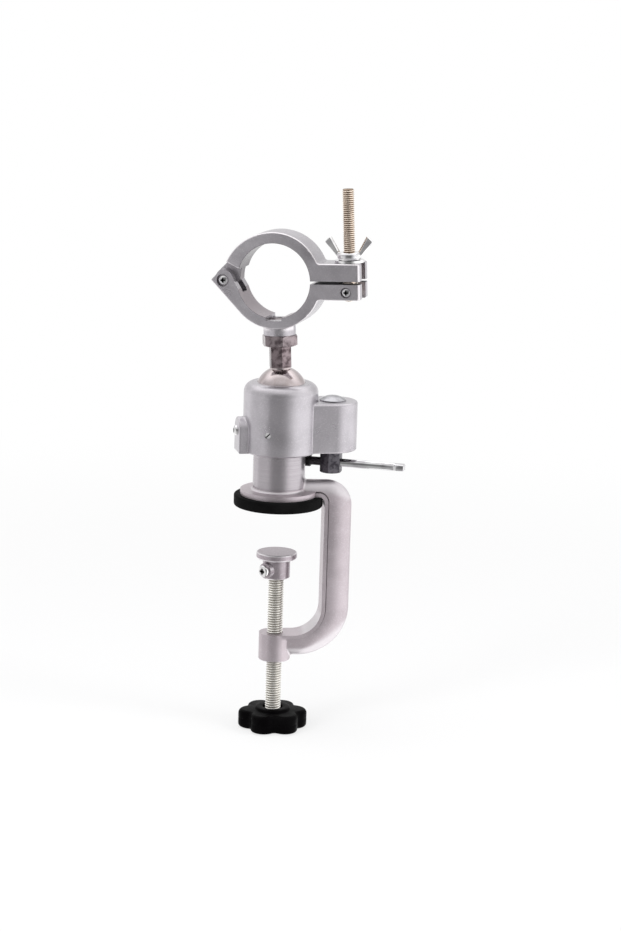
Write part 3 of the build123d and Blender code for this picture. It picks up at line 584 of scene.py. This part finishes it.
def makeScrewZinc(name):
    values, plating = screwHeads[name], platings["brightZinc"]
    recess, axis = values["recess"], values["axis"]
    material, tree, shader, coords = startFinish("zincScrew_" + name, {"Metallic": 1.0})
    offset = {0: coords, 1: headMiddle(name)}
    offset = addNode(tree, "ShaderNodeVectorMath", offset, operation="SUBTRACT")
    depth = {0: offset, 1: -axis}
    depth = addNode(tree, "ShaderNodeVectorMath", depth, operation="DOT_PRODUCT", **asValue)
    side = addNode(tree, "ShaderNodeVectorMath", {0: offset, 1: axis}, operation="CROSS_PRODUCT")
    radius = addNode(tree, "ShaderNodeVectorMath", {0: side}, operation="LENGTH", **asValue)
    shallow, sunk = screwRecessShade["depth"]
    deep = addNode(tree, "ShaderNodeMapRange", {0: depth, 1: shallow, 2: sunk}, **soft)
    central = {0: radius, 1: recess, 2: recess * 1.12, 3: 1.0, 4: 0.0}
    central = addNode(tree, "ShaderNodeMapRange", central, **soft)
    recessFloorShade = addNode(tree, "ShaderNodeMath", {0: deep, 1: central}, operation="MULTIPLY")
    centreShade = {0: radius, 1: recess * 0.5, 2: recess * 0.9, 3: values["centreShade"], 4: 0.0}
    centreShade = addNode(tree, "ShaderNodeMapRange", centreShade, **soft)
    recessShade = addNode(tree, "ShaderNodeMath", {0: recessFloorShade, 1: centreShade}, operation="MAXIMUM")
    cloud = {"Vector": coords, "Scale": 1 / plating["cloud"], "Detail": 3.0}
    cloud = addNode(tree, "ShaderNodeTexNoise", cloud)
    plate = mottle(tree, cloud, 0.3, 0.6, plating["dark"], plating["bright"])
    colour = addNode(tree, "ShaderNodeMix", {0: recessShade, 6: plate, 7: screwRecessShade["tone"]}, **inColour)
    rough = {0: recessShade, 1: 0.0, 2: 1.0, 3: plating["roughness"][0], 4: screwRecessShade["roughness"]}
    endFinish(tree, shader, colour, addNode(tree, "ShaderNodeMapRange", rough, **soft))
    return material


# Chrome plate on the bar: bright outside the nut; the short end inside carries painted shade and a painted
# dark reflection, so it reads black.
barChrome = {
    "dark": "#c6c4c7",
    "bright": "#e4e4e5",
    "roughness": (0.05, 0.10),
    "cloud": 8 * mm,
    # the tone and reach of the painted shade on the bar's inner end
    "innerShade": "#4a464a",
    "innerShadeTo": (-2.5 * mm, 1.0 * mm),
}


def makeBarChrome():
    values = barChrome
    material, tree, shader, coords = startFinish("chromeBar", {"Metallic": 1.0})
    offset = {0: coords, 1: (lockLine.x, lockLine.y, 0)}
    offset = addNode(tree, "ShaderNodeVectorMath", offset, operation="SUBTRACT")
    along = {0: offset, 1: barOut}
    along = addNode(tree, "ShaderNodeVectorMath", along, operation="DOT_PRODUCT", **asValue)
    cloud = {"Vector": coords, "Scale": 1 / values["cloud"], "Detail": 3.0}
    cloud = addNode(tree, "ShaderNodeTexNoise", cloud)
    plate = mottle(tree, cloud, 0.3, 0.6, values["dark"], values["bright"])
    start, end = values["innerShadeTo"]
    innerShade = addNode(tree, "ShaderNodeMapRange", {0: along, 1: start, 2: end, 3: 1.0, 4: 0.0}, **soft)
    colour = addNode(tree, "ShaderNodeMix", {0: innerShade, 6: plate, 7: values["innerShade"]}, **inColour)
    glossy, dull = values["roughness"]
    rough = addNode(tree, "ShaderNodeMapRange", {0: cloud, 1: 0.35, 2: 0.7, 3: dull, 4: glossy}, **soft)
    endFinish(tree, shader, colour, rough)
    return material


finishes = {name: makePlating(name) for name in platings}
finishes.update({name: makePolymer(name) for name in polymers})
finishes.update({name: makeScrewZinc(name) for name in screwHeads})
finishes["chromeBar"] = makeBarChrome()
finishes["nickelStud"] = makeStudNickel()
finishes["lacquerHousing"] = makeCastLacquer("lacquerHousing", "head", upward, 0.15)
finishes["lacquerPad"] = makeCastLacquer("lacquerPad", "pad", upward)
finishes["lacquerFrame"] = makeCastLacquer("lacquerFrame", "frame", upward, 0.7, turnedPost=True)
finishes["lacquerRing"] = makeCastLacquer("lacquerRing", "head", headFront, ringCasting=True)

nodeFinishes = {
    "ball_housing": "lacquerHousing",
    "pressure_pad": "lacquerPad",
    "clamp_frame": "lacquerFrame",
    "clamp_lower": "lacquerRing",
    "clamp_upper": "lacquerRing",
    "ball_stud": "nickelStud",
    "lock_nut": "agedNickel",
    "draw_bolt": "capSteel",
    "tommy_bar": "chromeBar",
    "swing_washer": "brightZinc",
    "lock_washer": "brightZinc",
    "wing_nut": "brightZinc",
    "coupling_nut": "blackOxide",
    "rocker_lever": "plainSteel",
    "ball_seat": "plainSteel",
    "bench_pad": "nitrileRubber",
    "knob": "phenolicMoulding",
    "bar_cap": "vinylCap",
    **{name: name for name in screwHeads},
}
for name, finish in nodeFinishes.items():
    cadNodes[name].data.materials.clear()
    cadNodes[name].data.materials.append(finishes[finish])
print("finishes ready:", len(finishes))


def addPiece(name, mesh, finish, body, replaced):
    mesh.name = name
    mesh.materials.clear()
    mesh.materials.append(finish)
    piece = bpy.data.objects.new(name, mesh)
    bpy.context.scene.collection.objects.link(piece)
    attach(piece, body)
    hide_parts(replaced)
    print("piece", name, len(mesh.polygons), "faces")


def smoothMesh(mesh, sharpAngle):
    for face in mesh.polygons:
        face.use_smooth = True
    mesh.set_sharp_from_angle(angle=math.radians(sharpAngle))


def linkCarrier(mesh):
    carrier = bpy.data.objects.new("carrier", mesh)
    bpy.context.scene.collection.objects.link(carrier)
    return carrier


def meshFromCarrier(carrier):
    mesh = bpy.data.meshes.new_from_object(carrier.evaluated_get(bpy.context.evaluated_depsgraph_get()))
    bpy.data.objects.remove(carrier)
    return mesh


# Threads: one tree makes any rolled rod, and every size is a named input.
threadInputs = {
    "NodeSocketFloat": (
        "Radius", "Length", "Pitch", "Depth", "Chamfer", "Thread Start",
        "Groove Middle", "Groove Width", "Groove Radius", "Groove Slope",
    ),
    "NodeSocketInt": ("Segments", "Rings Per Pitch"),
    "NodeSocketMaterial": ("Material",),
}


def makeThreadTree():
    tree = bpy.data.node_groups.new("rolledThread", "GeometryNodeTree")
    for kind, names in threadInputs.items():
        for name in names:
            tree.interface.new_socket(name, in_out="INPUT", socket_type=kind)
    tree.interface.new_socket("Mesh", in_out="OUTPUT", socket_type="NodeSocketGeometry")
    sized = addNode(tree, "NodeGroupInput").node.outputs
    turns = addNode(tree, "ShaderNodeMath", {0: sized["Length"], 1: sized["Pitch"]}, operation="DIVIDE")
    rings = {0: turns, 1: sized["Rings Per Pitch"]}
    rings = addNode(tree, "ShaderNodeMath", rings, operation="MULTIPLY")
    rod = addNode(tree, "GeometryNodeMeshCylinder", {
        "Vertices": sized["Segments"], "Radius": sized["Radius"], "Depth": sized["Length"],
        "Side Segments": addNode(tree, "ShaderNodeMath", {0: rings}, operation="ROUND"),
    }, fill_type="TRIANGLE_FAN")
    at = addNode(tree, "ShaderNodeSeparateXYZ", {0: addNode(tree, "GeometryNodeInputPosition")}).node.outputs
    # the groove winds with the angle round the rod, and is deepest halfway between two crests
    turn = addNode(tree, "ShaderNodeMath", {0: at[1], 1: at[0]}, operation="ARCTAN2")
    turn = addNode(tree, "ShaderNodeMath", {0: turn, 1: 2 * math.pi}, operation="DIVIDE")
    phase = addNode(tree, "ShaderNodeMath", {0: at[2], 1: sized["Pitch"]}, operation="DIVIDE")
    phase = addNode(tree, "ShaderNodeMath", {0: phase, 1: turn}, operation="SUBTRACT")
    phase = addNode(tree, "ShaderNodeMath", {0: phase}, operation="FRACT")
    fromCrest = addNode(tree, "ShaderNodeMath", {0: phase, 1: 0.5}, operation="SUBTRACT")
    fromCrest = addNode(tree, "ShaderNodeMath", {0: fromCrest}, operation="ABSOLUTE")
    fromCrest = addNode(tree, "ShaderNodeMath", {0: fromCrest, 1: 2.0}, operation="MULTIPLY")
    groove = addNode(tree, "ShaderNodeMapRange", {0: fromCrest, 1: 0.14, 2: 0.84})
    # it fades in over one pitch, and both ends of the rod are chamfered
    half = addNode(tree, "ShaderNodeMath", {0: sized["Length"], 1: 0.5}, operation="MULTIPLY")
    height = addNode(tree, "ShaderNodeMath", {0: at[2], 1: half}, operation="ADD")
    full = {0: sized["Thread Start"], 1: sized["Pitch"]}
    full = addNode(tree, "ShaderNodeMath", full, operation="ADD")
    begun = addNode(tree, "ShaderNodeMapRange", {0: height, 1: sized["Thread Start"], 2: full}, **soft)
    cut = addNode(tree, "ShaderNodeMath", {0: groove, 1: begun}, operation="MULTIPLY")
    cut = addNode(tree, "ShaderNodeMath", {0: cut, 1: sized["Depth"]}, operation="MULTIPLY")
    threaded = addNode(tree, "ShaderNodeMath", {0: sized["Radius"], 1: cut}, operation="SUBTRACT")
    fromMiddle = addNode(tree, "ShaderNodeMath", {0: at[2]}, operation="ABSOLUTE")
    toEnd = addNode(tree, "ShaderNodeMath", {0: half, 1: fromMiddle}, operation="SUBTRACT")
    limit = {0: sized["Radius"], 1: sized["Chamfer"]}
    limit = addNode(tree, "ShaderNodeMath", limit, operation="SUBTRACT")
    limit = addNode(tree, "ShaderNodeMath", {0: limit, 1: toEnd}, operation="ADD")
    # a plain groove round the rod, with steep walls, holds a retaining screw's tip
    past = addNode(tree, "ShaderNodeMath", {0: height, 1: sized["Groove Middle"]}, operation="SUBTRACT")
    past = addNode(tree, "ShaderNodeMath", {0: past}, operation="ABSOLUTE")
    wide = addNode(tree, "ShaderNodeMath", {0: sized["Groove Width"], 1: 0.5}, operation="MULTIPLY")
    past = addNode(tree, "ShaderNodeMath", {0: past, 1: wide}, operation="SUBTRACT")
    past = addNode(tree, "ShaderNodeMath", {0: past, 1: 0.0}, operation="MAXIMUM")
    wall = addNode(tree, "ShaderNodeMath", {0: past, 1: sized["Groove Slope"]}, operation="MULTIPLY")
    grooved = addNode(tree, "ShaderNodeMath", {0: sized["Groove Radius"], 1: wall}, operation="ADD")
    radius = addNode(tree, "ShaderNodeMath", {0: threaded, 1: limit}, operation="MINIMUM")
    radius = addNode(tree, "ShaderNodeMath", {0: radius, 1: grooved}, operation="MINIMUM")
    share = addNode(tree, "ShaderNodeMath", {0: radius, 1: sized["Radius"]}, operation="DIVIDE")
    x = addNode(tree, "ShaderNodeMath", {0: at[0], 1: share}, operation="MULTIPLY")
    y = addNode(tree, "ShaderNodeMath", {0: at[1], 1: share}, operation="MULTIPLY")
    moved = addNode(tree, "ShaderNodeCombineXYZ", {0: x, 1: y, 2: at[2]})
    placed = addNode(tree, "GeometryNodeSetPosition", {"Geometry": rod, "Position": moved})
    whole = addNode(tree, "GeometryNodeRealizeInstances", {0: placed})
    whole = {"Geometry": whole, "Material": sized["Material"]}
    addNode(tree, "NodeGroupOutput", {0: addNode(tree, "GeometryNodeSetMaterial", whole)})
    return tree


threadTree = makeThreadTree()


def rodFromTree(sizes, finish):
    carrier = linkCarrier(bpy.data.meshes.new("rod"))
    modifier = carrier.modifiers.new("shape", "NODES")
    modifier.node_group = threadTree
    sockets = threadTree.interface.items_tree
    inputs = {item.name: item.identifier for item in sockets if item.in_out == "INPUT"}
    for name, value in {**sizes, "Material": finish}.items():
        modifier[inputs[name]] = value
    return meshFromCarrier(carrier)


spindleSizes = {
    "Radius": 4.0 * mm, "Length": 84.8 * mm, "Pitch": 1.25 * mm, "Depth": 0.64 * mm, "Chamfer": 0.8 * mm,
    "Thread Start": -2 * mm, "Segments": 48, "Rings Per Pitch": 12,
    "Groove Middle": 80.4 * mm, "Groove Width": 4.2 * mm, "Groove Radius": 3.1 * mm, "Groove Slope": 8.0,
}


def makeSpindle():
    low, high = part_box("spindle")
    middle = Matrix.Translation((low + high) / 2)
    finish = makeRolledZinc("warmZincThread", middle, spindleSizes)
    mesh = rodFromTree(spindleSizes, finish)
    mesh.transform(middle)
    smoothMesh(mesh, 50)
    addPiece("threadedSpindle", mesh, finish, "screw", "spindle")


makeSpindle()

# The M6 eye bolt: rolled thread above a plain neck, and an eye on the swing pin.
swingBoltSizes = {
    "Radius": 3.0 * mm, "Length": 46.7 * mm, "Pitch": 1.0 * mm, "Depth": 0.52 * mm, "Chamfer": 0.6 * mm,
    "Thread Start": 6.0 * mm, "Segments": 40, "Rings Per Pitch": 12,
    "Groove Middle": 0.0, "Groove Width": 0.0, "Groove Radius": 3.0 * mm, "Groove Slope": 8.0,
}
swingEye = {"outer": 5.0, "hole": 2.08, "halfWide": 3.2, "edge": 0.7, "holeEdge": 0.25, "neckFrom": 3.0}


def roundedLoop(corners, steps=4):
    # corners are (radius, height, rounding); each rounding becomes a short arc
    loop = []
    for index, (x, y, rounding) in enumerate(corners):
        here = Vector((x, y))
        before = Vector(corners[index - 1][:2]) - here
        after = Vector(corners[(index + 1) % len(corners)][:2]) - here
        if rounding <= 0:
            loop.append(here)
            continue
        start = here + before.normalized() * rounding
        end = here + after.normalized() * rounding
        for step in range(steps + 1):
            share = step / steps
            loop.append((1 - share) ** 2 * start + 2 * share * (1 - share) * here + share**2 * end)
    return loop


def addRing(shape, segments, height, radiusAt):
    # a ring of corners round local Z; one without a radius is a single corner, the pole
    if abs(radiusAt(0)) < 1e-6:
        return [shape.verts.new((0, 0, height * mm))] * segments
    row = []
    for index in range(segments):
        turn = 2 * math.pi * index / segments
        radius = radiusAt(turn) * mm
        row.append(shape.verts.new((radius * math.cos(turn), radius * math.sin(turn), height * mm)))
    return row


def joinRows(shape, rows, closed=False):
    for row, following in zip(rows, rows[1:] + (rows[:1] if closed else [])):
        for index in range(len(row)):
            after = (index + 1) % len(row)
            corners = list(dict.fromkeys((row[index], row[after], following[after], following[index])))
            if len(corners) > 2:
                shape.faces.new(corners)


def meshFromShape(name, shape):
    bmesh.ops.recalc_face_normals(shape, faces=shape.faces)
    mesh = bpy.data.meshes.new(name)
    shape.to_mesh(mesh)
    shape.free()
    return mesh


def latheMesh(name, corners, segments):
    # spins a closed loop round local Z
    shape = bmesh.new()
    rows = [addRing(shape, segments, point.y, lambda turn: point.x) for point in roundedLoop(corners)]
    joinRows(shape, rows, closed=True)
    return meshFromShape(name, shape)


def joinMeshes(name, meshes):
    shape = bmesh.new()
    for mesh in meshes:
        shape.from_mesh(mesh)
    joined = bpy.data.meshes.new(name)
    shape.to_mesh(joined)
    shape.free()
    return joined


def makeSwingBolt():
    finish = makeRolledZinc("yellowZincThread", swingPlace, swingBoltSizes)
    rod = rodFromTree(swingBoltSizes, finish)
    lift = swingEye["neckFrom"] * mm + swingBoltSizes["Length"] / 2
    rod.transform(swingPlace @ Matrix.Translation((0, 0, lift)))
    hole, outer, half = swingEye["hole"], swingEye["outer"], swingEye["halfWide"]
    inner, edge = swingEye["holeEdge"], swingEye["edge"]
    corners = [(hole, -half, inner), (outer, -half, edge), (outer, half, edge), (hole, half, inner)]
    eye = latheMesh("eye", corners, 64)
    eye.transform(swingPlace @ Matrix.Rotation(math.radians(90), 4, "X"))
    mesh = joinMeshes("swingBoltThreaded", [rod, eye])
    smoothMesh(mesh, 50)
    addPiece("swingBoltThreaded", mesh, finish, "eye_bolt", "swing_bolt")


makeSwingBolt()

# The knob: six lobes round a ring, run together by soft hollows, under a low collar.
knobSizes = {
    "low": -115.5, "top": -106.3, "collarTop": -105.0, "floor": -107.6, "boreEnd": -113.2,
    "lobeRadius": 6.3, "lobeRing": 11.1, "lobes": 6, "hollow": 3.0,
    "topRound": 2.2, "topSteps": 8, "lowRound": 1.6, "lowSteps": 5, "lowFlat": (4.0, 5.0),
    "collar": 8.75, "recess": 5.0, "bore": 4.05,
    # the small roundings, as steps outwards and upwards from the edge they are on
    "collarFoot": ((0.5, 0.0), (0.12, 0.12), (0.0, 0.45)),
    "collarLip": ((-0.06, -0.4), (-0.25, -0.14), (-0.6, 0.0)),
    "recessLip": ((0.5, 0.0), (0.15, -0.12), (0.0, -0.45)),
    "partingLine": {"height": -110.9, "half": 0.30, "deep": 0.12},
    "segments": 216,
}


def lobedRadius(turn):
    values = knobSizes
    half = math.pi / values["lobes"]
    away = abs((turn + half) % (2 * half) - half)
    ring, lobe, hollow = values["lobeRing"], values["lobeRadius"], values["hollow"]
    farOut = ring * math.cos(half) + math.sqrt((lobe + hollow) ** 2 - (ring * math.sin(half)) ** 2)
    joinX = ring + (farOut * math.cos(half) - ring) * lobe / (lobe + hollow)
    joinY = farOut * math.sin(half) * lobe / (lobe + hollow)
    if away < math.atan2(joinY, joinX):
        return ring * math.cos(away) + math.sqrt(lobe**2 - (ring * math.sin(away)) ** 2)
    return farOut * math.cos(half - away) - math.sqrt(hollow**2 - (farOut * math.sin(half - away)) ** 2)


def knobStations():
    # each ring is (whether it is lobed, inset from the lobes or plain radius, height)
    values = knobSizes
    low, top, line = values["low"], values["top"], values["partingLine"]
    flat, wide = values["lowFlat"]
    stations = [(False, 0.0, low), (False, flat, low), (True, wide, low)]
    for step in range(values["lowSteps"] + 1):
        turn = math.radians(90 * step / values["lowSteps"])
        curve = values["lowRound"]
        stations.append((True, curve * (1 - math.sin(turn)), low + curve * (1 - math.cos(turn))))
    for inset, rise in ((0.0, -line["half"]), (line["deep"], 0.0), (0.0, line["half"])):
        stations.append((True, inset, line["height"] + rise))
    for step in range(values["topSteps"] + 1):
        turn = math.radians(90 * step / values["topSteps"])
        curve = values["topRound"]
        stations.append((True, curve * (1 - math.cos(turn)), top - curve * (1 - math.sin(turn))))
    for edge, radius, height in (
        ("collarFoot", values["collar"], top),
        ("collarLip", values["collar"], values["collarTop"]),
        ("recessLip", values["recess"], values["collarTop"]),
    ):
        stations += [(False, radius + out, height + rise) for out, rise in values[edge]]
    bore, floor, end = values["bore"], values["floor"], values["boreEnd"]
    for radius, height in ((values["recess"], floor), (bore, floor), (bore, end), (0.0, end)):
        stations.append((False, radius, height))
    return stations


def makeKnob():
    shape = bmesh.new()
    rows = []
    for lobed, size, height in knobStations():
        radiusAt = (lambda turn: lobedRadius(turn) - size) if lobed else (lambda turn: size)
        rows.append(addRing(shape, knobSizes["segments"], height, radiusAt))
    joinRows(shape, rows)
    mesh = meshFromShape("lobedKnob", shape)
    smoothMesh(mesh, 40)
    addPiece("lobedKnob", mesh, finishes["phenolicMoulding"], "screw", "knob")


makeKnob()

# The wing nut: a bowl-shaped hub with two blades that open outwards, cast in one.
wingNutSizes = {
    "rise": 15.3,
    "hub": (
        (3.08, 0.0, 0.2), (5.5, 0.0, 0.4), (6.0, 1.4, 0.3), (5.9, 2.9, 0.5), (5.1, 3.7, 0.4),
        (3.08, 3.7, 0.2),
    ),
    # the blade's outline in its middle plane, and the smaller one on its flat faces
    "blade": (
        (4.1, 0.6), (5.3, 0.6), (7.1, 2.7), (11.9, 8.3), (12.1, 8.9), (9.5, 11.35), (8.9, 11.4), (4.9, 4.3),
        (4.1, 3.5),
    ),
    "bladeFace": (
        (4.1, 0.9), (5.1, 0.9), (6.8, 3.0), (11.6, 8.5), (11.7, 8.9), (9.7, 10.8), (9.5, 10.7), (5.9, 4.2),
        (4.4, 3.2),
    ),
    "bladeHalf": (1.25, 1.05),  # half thickness at the hub and at the tip
    "thinsFrom": 3.0,
    "thinsOver": 8.0,
    "chamferDeep": 0.8,
    "voxel": 0.11,
    "smoothing": 2,
}


def bladeMesh(values, sign):
    # four loops across the blade: a flat face, the wide middle twice, and the other face
    shape = bmesh.new()
    thick, thin = values["bladeHalf"]
    rows = []
    for face in (-1, 1):
        loops = [(values["bladeFace"], 0.0), (values["blade"], values["chamferDeep"])]
        for outline, inset in loops if face < 0 else reversed(loops):
            row = []
            for x, z in outline:
                share = min(1.0, max(0.0, (z - values["thinsFrom"]) / values["thinsOver"]))
                half = thick + (thin - thick) * share
                row.append(shape.verts.new((sign * x * mm, face * (half - inset) * mm, z * mm)))
            rows.append(row)
    shape.faces.new(rows[0])
    shape.faces.new(rows[-1])
    joinRows(shape, rows)
    return meshFromShape("blade", shape)


def meldMesh(mesh, voxel, smoothing):
    # joins overlapping solids into one skin with soft inner corners
    carrier = linkCarrier(mesh)
    remesh = carrier.modifiers.new("skin", "REMESH")
    remesh.mode = "VOXEL"
    remesh.voxel_size = voxel
    smooth = carrier.modifiers.new("soften", "SMOOTH")
    smooth.factor = 0.5
    smooth.iterations = smoothing
    return meshFromCarrier(carrier)


def makeWingNut():
    values = wingNutSizes
    parts = [latheMesh("hub", values["hub"], 96)] + [bladeMesh(values, sign) for sign in (-1, 1)]
    mesh = meldMesh(joinMeshes("wingNutParts", parts), values["voxel"] * mm, values["smoothing"])
    mesh.transform(swingPlace @ Matrix.Translation((0, 0, values["rise"] * mm)))
    smoothMesh(mesh, 180)
    addPiece("wingNutCast", mesh, finishes["brightZinc"], "wings", "wing_nut")


makeWingNut()

# The tommy bar: a round bar whose far end is beaten flat so it can't slip out of the nut.
tommyBarSizes = {
    "from": -13.0, "headFrom": 32.5, "radius": 2.15, "chamfer": (0.5, 0.45), "height": 21.3, "segments": 64,
    "lengths": 8,
    # the beaten end: (past headFrom, half width, half height, squareness)
    "head": (
        (-0.6, 2.15, 2.15, 2.0), (0.0, 2.25, 2.0, 2.3), (0.6, 2.48, 1.8, 3.2), (1.3, 2.6, 1.8, 4.2),
        (4.3, 2.6, 1.8, 4.2), (4.75, 2.48, 1.7, 4.2), (5.0, 2.05, 1.3, 4.0),
    ),
}


def makeTommyBar():
    values = tommyBarSizes
    radius, start, head = values["radius"], values["from"], values["headFrom"]
    inset, long = values["chamfer"]
    stations = [(start, radius - inset, radius - inset, 2.0), (start + long, radius, radius, 2.0)]
    for step in range(1, values["lengths"]):
        stations.append((start + (head - start) * step / values["lengths"], radius, radius, 2.0))
    stations += [(head + past, *section) for past, *section in values["head"]]
    shape = bmesh.new()
    rows = []
    for along, halfWide, halfHigh, power in stations:
        row = []
        for index in range(values["segments"]):
            turn = 2 * math.pi * index / values["segments"]
            x, y = math.cos(turn), math.sin(turn)
            x = math.copysign(abs(x) ** (2 / power), x) * halfWide
            y = math.copysign(abs(y) ** (2 / power), y) * halfHigh
            row.append(shape.verts.new((x * mm, y * mm, along * mm)))
        rows.append(row)
    joinRows(shape, rows)
    shape.faces.new(rows[0])
    shape.faces.new(rows[-1])
    mesh = meshFromShape("tommyBarFlattened", shape)
    middle = Vector((lockLine.x, lockLine.y, values["height"] * mm))
    mesh.transform(placeOf(middle, barOut.cross(upward), barOut))
    smoothMesh(mesh, 40)
    addPiece("tommyBarFlattened", mesh, finishes["chromeBar"], "bar", "tommy_bar")


makeTommyBar()

# The bench pad: a rubber disc with moulded, slightly soft edges.
benchPadSizes = {"radius": 22.25, "thick": 5.5, "edge": 0.9}


def makeBenchPad():
    radius, thick, edge = benchPadSizes["radius"], benchPadSizes["thick"], benchPadSizes["edge"]
    corners = [(0, 0, 0), (radius, 0, edge), (radius, thick, edge), (0, thick, 0)]
    mesh = latheMesh("benchPadRubber", corners, 144)
    smoothMesh(mesh, 40)
    rubber = finishes["nitrileRubber"]
    addPiece("benchPadRubber", mesh, rubber, "bench_frame", "bench_pad")


makeBenchPad()


def openCopy(node):
    # a copy of a CAD solid with its loose corners merged
    mesh = cadNodes[node].data.copy()
    shape = bmesh.new()
    shape.from_mesh(mesh)
    bmesh.ops.remove_doubles(shape, verts=shape.verts, dist=0.002 * mm)
    return mesh, shape


def closeCopy(mesh, shape):
    shape.to_mesh(mesh)
    shape.free()
    if mesh.has_custom_normals:
        mesh.attributes.remove(mesh.attributes["custom_normal"])


# Castings: the CAD solids with the small rounded edges that a die-cast piece has.
castPieces = {
    "clampLowerCast": {"node": "clamp_lower", "body": "ring_lower"},
    "clampUpperCast": {"node": "clamp_upper", "body": "ring_upper"},
}
castEdge = {"round": 0.6, "segments": 3, "sharpest": 32, "flat": 0.4}


def makeCastPiece(name, node, body):
    mesh, shape = openCopy(node)
    flat = math.radians(castEdge["flat"])
    bmesh.ops.dissolve_limit(shape, angle_limit=flat, verts=shape.verts, edges=shape.edges)
    closeCopy(mesh, shape)
    for face in mesh.polygons:
        face.use_smooth = True
    carrier = linkCarrier(mesh)
    bevel = carrier.modifiers.new("castEdge", "BEVEL")
    bevel.width = castEdge["round"] * mm
    bevel.segments = castEdge["segments"]
    bevel.limit_method = "ANGLE"
    bevel.angle_limit = math.radians(castEdge["sharpest"])
    bevel.harden_normals = True
    addPiece(name, meshFromCarrier(carrier), finishes["lacquerRing"], body, node)


for name, values in castPieces.items():
    makeCastPiece(name, **values)

# The ring's two pins: the CAD heads are flat, and the pressed ones are low domes.
domedPins = {"hingePinDomed": "hinge_pin", "swingPinDomed": "swing_pin"}
pinDome = {
    "drop": 0.14,  # mm lower per square mm from the middle
    "depth": 1.15,  # how far below the face the dome is felt
    "face": 0.02,
    "cuts": 3,
}


def makeDomedPin(name, node):
    axis = screwHeads[node]["axis"]
    middle = headMiddle(node)
    mesh, shape = openCopy(node)

    def depthOf(spot):
        return (middle - spot).dot(axis) / mm

    top = [edge for edge in shape.edges if all(depthOf(end.co) < pinDome["face"] for end in edge.verts)]
    bmesh.ops.subdivide_edges(shape, edges=top, cuts=pinDome["cuts"], use_grid_fill=True)
    bmesh.ops.triangulate(shape, faces=shape.faces)
    for vertex in shape.verts:
        depth = depthOf(vertex.co)
        away = (vertex.co - middle).cross(axis).length / mm
        if depth < pinDome["depth"]:
            vertex.co -= axis * mm * pinDome["drop"] * away**2 * (1 - depth / pinDome["depth"])
    closeCopy(mesh, shape)
    smoothMesh(mesh, 35)
    addPiece(name, mesh, finishes[node], "ring_lower", node)


for name, node in domedPins.items():
    makeDomedPin(name, node)

# The frame's arm: the CAD bead is flat in front with a rounded outer edge, and the cast one is an
# even crown that falls away over its whole width.
armCrown = {
    "top": 13.1, "back": 36.9, "low": -77.5, "shoulder": 13.0, "heel": 25.0,  # the bead's outer outline
    "width": 9.9, "half": 5.8, "round": 5.6, "least": 0.6,
    "blend": (12.0, 24.0),  # from the post's axis, over which the crown starts
    "longest": 1.6,  # edges on the flat front are halved until they are shorter
    "halvings": 7,
    "frontFrom": 8.0,
    "near": 0.02,
}


def crownShare(x, z):
    # how far the flat bead is drawn in at this place, seen from the side
    values = armCrown
    depth = min(values["top"] - z, values["back"] - x, z - values["low"])
    for corner, edge, upper in ((values["shoulder"], values["top"], 1), (values["heel"], values["low"], -1)):
        centreX, centreZ = values["back"] - corner, edge - upper * corner
        if x > centreX and (z - centreZ) * upper > 0:
            depth = corner - math.hypot(x - centreX, z - centreZ)
    along = values["width"] - max(0.0, depth)
    if along <= 0:
        return 1.0
    past = max(0.0, along - (values["width"] - values["round"]))
    flat = values["half"] - values["round"] + math.sqrt(max(0.0, values["round"] ** 2 - past**2))
    crowned = values["half"] * math.sqrt(max(0.0, 1 - (along / values["width"]) ** 2))
    start, end = values["blend"]
    blend = min(1.0, max(0.0, (x - start) / (end - start)))
    blend = blend * blend * (3 - 2 * blend)
    return 1 - blend * (1 - max(values["least"], crowned / flat))


def onFlatFront(edge):
    # both ends lie on the same flat side of the bead
    first, second = (end.co / mm for end in edge.verts)
    if first.y * second.y <= 0 or min(first.x, second.x) <= armCrown["frontFrom"]:
        return False
    return all(abs(abs(end.y) - armCrown["half"]) < armCrown["near"] for end in (first, second))


def makeCrownedFrame():
    mesh, shape = openCopy("clamp_frame")
    longest, start = armCrown["longest"] * mm, armCrown["blend"][0]
    for halving in range(armCrown["halvings"]):
        long = [edge for edge in shape.edges if onFlatFront(edge) and edge.calc_length() > longest]
        if not long:
            break
        bmesh.ops.subdivide_edges(shape, edges=long, cuts=1)
        bmesh.ops.triangulate(shape, faces=[face for face in shape.faces if len(face.verts) > 3])
    for vertex in shape.verts:
        x, z = vertex.co.x / mm, vertex.co.z / mm
        if x > start and abs(vertex.co.y) / mm < armCrown["half"] + 0.05:
            vertex.co.y *= crownShare(x, z)
    bmesh.ops.recalc_face_normals(shape, faces=shape.faces)
    closeCopy(mesh, shape)
    smoothMesh(mesh, 28)
    carrier = linkCarrier(mesh)
    carrier.modifiers.new("evenNormals", "WEIGHTED_NORMAL").keep_sharp = True
    finished = meshFromCarrier(carrier)
    addPiece("crownedFrame", finished, finishes["lacquerFrame"], "bench_frame", "clamp_frame")


makeCrownedFrame()
